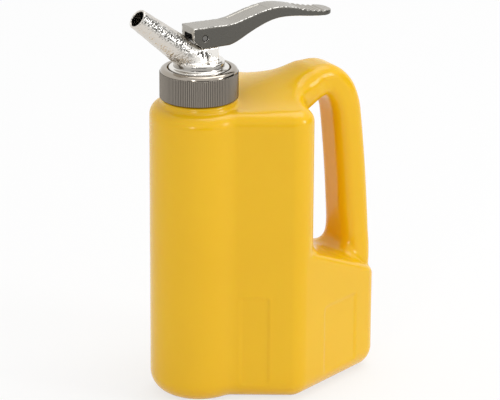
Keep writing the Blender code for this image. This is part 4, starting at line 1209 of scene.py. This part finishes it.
def ray_is(tree, *kinds):
    """1 for a ray of one of these kinds, otherwise 0."""
    path = add_node(tree, "LightPath", {}).outputs
    known = path[kinds[0]]
    for kind in kinds[1:]:
        known = calculate(tree, "MAXIMUM", known, path[kind])
    return known


def add_sheet(name, corners, material):
    mesh = bpy.data.meshes.new(name)
    mesh.from_pydata(corners, [], [(0, 1, 2, 3)])
    mesh.materials.append(material)
    sheet = add_object(name, mesh)
    return sheet


def build_floor():
    """A pale floor. The camera sees it almost white, and it keeps the shadow."""
    material, tree, shader = material_tree(
        "studio_floor", FLOOR_TONE, metallic=0.0, roughness=0.9
    )
    shader.inputs["Specular IOR Level"].default_value = 0.1
    glow = add_node(tree, "Emission", {"Color": WHITE})
    place = add_node(tree, "TexCoord", {}).outputs["Object"]
    away = add_node(tree, "VectorMath", {0: place}, operation="LENGTH").outputs["Value"]
    whiter = spread(tree, away, *FLOOR_WHITE_SHARE, *FLOOR_WHITE_OVER, True)
    seen = ray_is(tree, "Is Camera Ray", "Is Glossy Ray")
    mixer = add_node(tree, "MixShader", {
        0: calculate(tree, "MULTIPLY", seen, whiter),
        1: shader.outputs["BSDF"], 2: glow.outputs["Emission"],
    })
    tree.links.new(mixer.outputs["Shader"], tree.nodes["Material Output"].inputs["Surface"])
    corners = [
        (FLOOR_REACH * i, FLOOR_REACH * j, 0.0) for i, j in ((-1, -1), (1, -1), (1, 1), (-1, 1))
    ]
    add_sheet("studio_floor", corners, material)


def add_dark_card(name, azimuth, wide, low, high, distance, tone):
    """A dark card that only shows as a reflection in the metal, as in a photo studio."""
    way = Vector((math.cos(math.radians(azimuth)), math.sin(math.radians(azimuth)), 0.0))
    side = Vector((-way.y, way.x, 0.0))
    corners = [
        way * distance + side * (wide / 2.0) * s + Vector((0.0, 0.0, z))
        for s, z in ((-1, low), (1, low), (1, high), (-1, high))
    ]
    colour = [tone * part for part in CARD_WARMTH]
    material, _, shader = material_tree(name, colour, metallic=0.0, roughness=1.0)
    shader.inputs["Specular IOR Level"].default_value = 0.0
    card = add_sheet(name, corners, material)
    card.visible_camera = False
    card.visible_diffuse = False
    card.visible_shadow = False
    card.visible_transmission = False


def add_softbox(name, place, aim, size, power):
    lamp = bpy.data.lights.new(name, "AREA")
    lamp.shape = "RECTANGLE"
    lamp.size, lamp.size_y = size
    lamp.energy = power
    holder = add_object(name, lamp)
    holder.location = place
    holder.rotation_euler = (Vector(aim) - Vector(place)).to_track_quat("-Z", "Y").to_euler()


def build_world():
    """White where it is seen, and a little dimmer where it lights the object."""
    world = bpy.data.worlds.new("studio")
    bpy.context.scene.world = world
    world.use_nodes = True
    tree = world.node_tree
    seen = ray_is(tree, "Is Camera Ray", "Is Glossy Ray", "Is Transmission Ray")
    back = tree.nodes["Background"]
    back.inputs["Color"].default_value = WHITE
    tree.links.new(spread(tree, seen, *WORLD_LEVELS, 0.0, 1.0), back.inputs["Strength"])


def build_camera():
    azimuth, elevation = math.radians(CAMERA_AZIMUTH), math.radians(CAMERA_ELEVATION)
    back = Vector((
        -math.sin(azimuth) * math.cos(elevation), -math.cos(azimuth) * math.cos(elevation),
        math.sin(elevation),
    ))
    data = bpy.data.cameras.new("photo_camera")
    data.sensor_width = SENSOR
    data.lens = FOCAL_PIXELS / IMAGE_WIDTH * SENSOR
    data.shift_x = TARGET_OFFSET[0] / IMAGE_WIDTH
    data.shift_y = TARGET_OFFSET[1] / IMAGE_WIDTH
    data.clip_end = CAMERA_REACH
    camera = add_object("photo_camera", data)
    camera.location = Vector(CAMERA_TARGET) + back * CAMERA_DISTANCE
    camera.rotation_euler = (-back).to_track_quat("-Z", "Y").to_euler()
    bpy.context.scene.camera = camera


build_floor()
build_world()
for softbox in SOFTBOXES:
    add_softbox(*softbox)
for dark_card in DARK_CARDS:
    add_dark_card(*dark_card)
build_camera()

view = bpy.context.scene.view_settings
view.view_transform = "Standard"
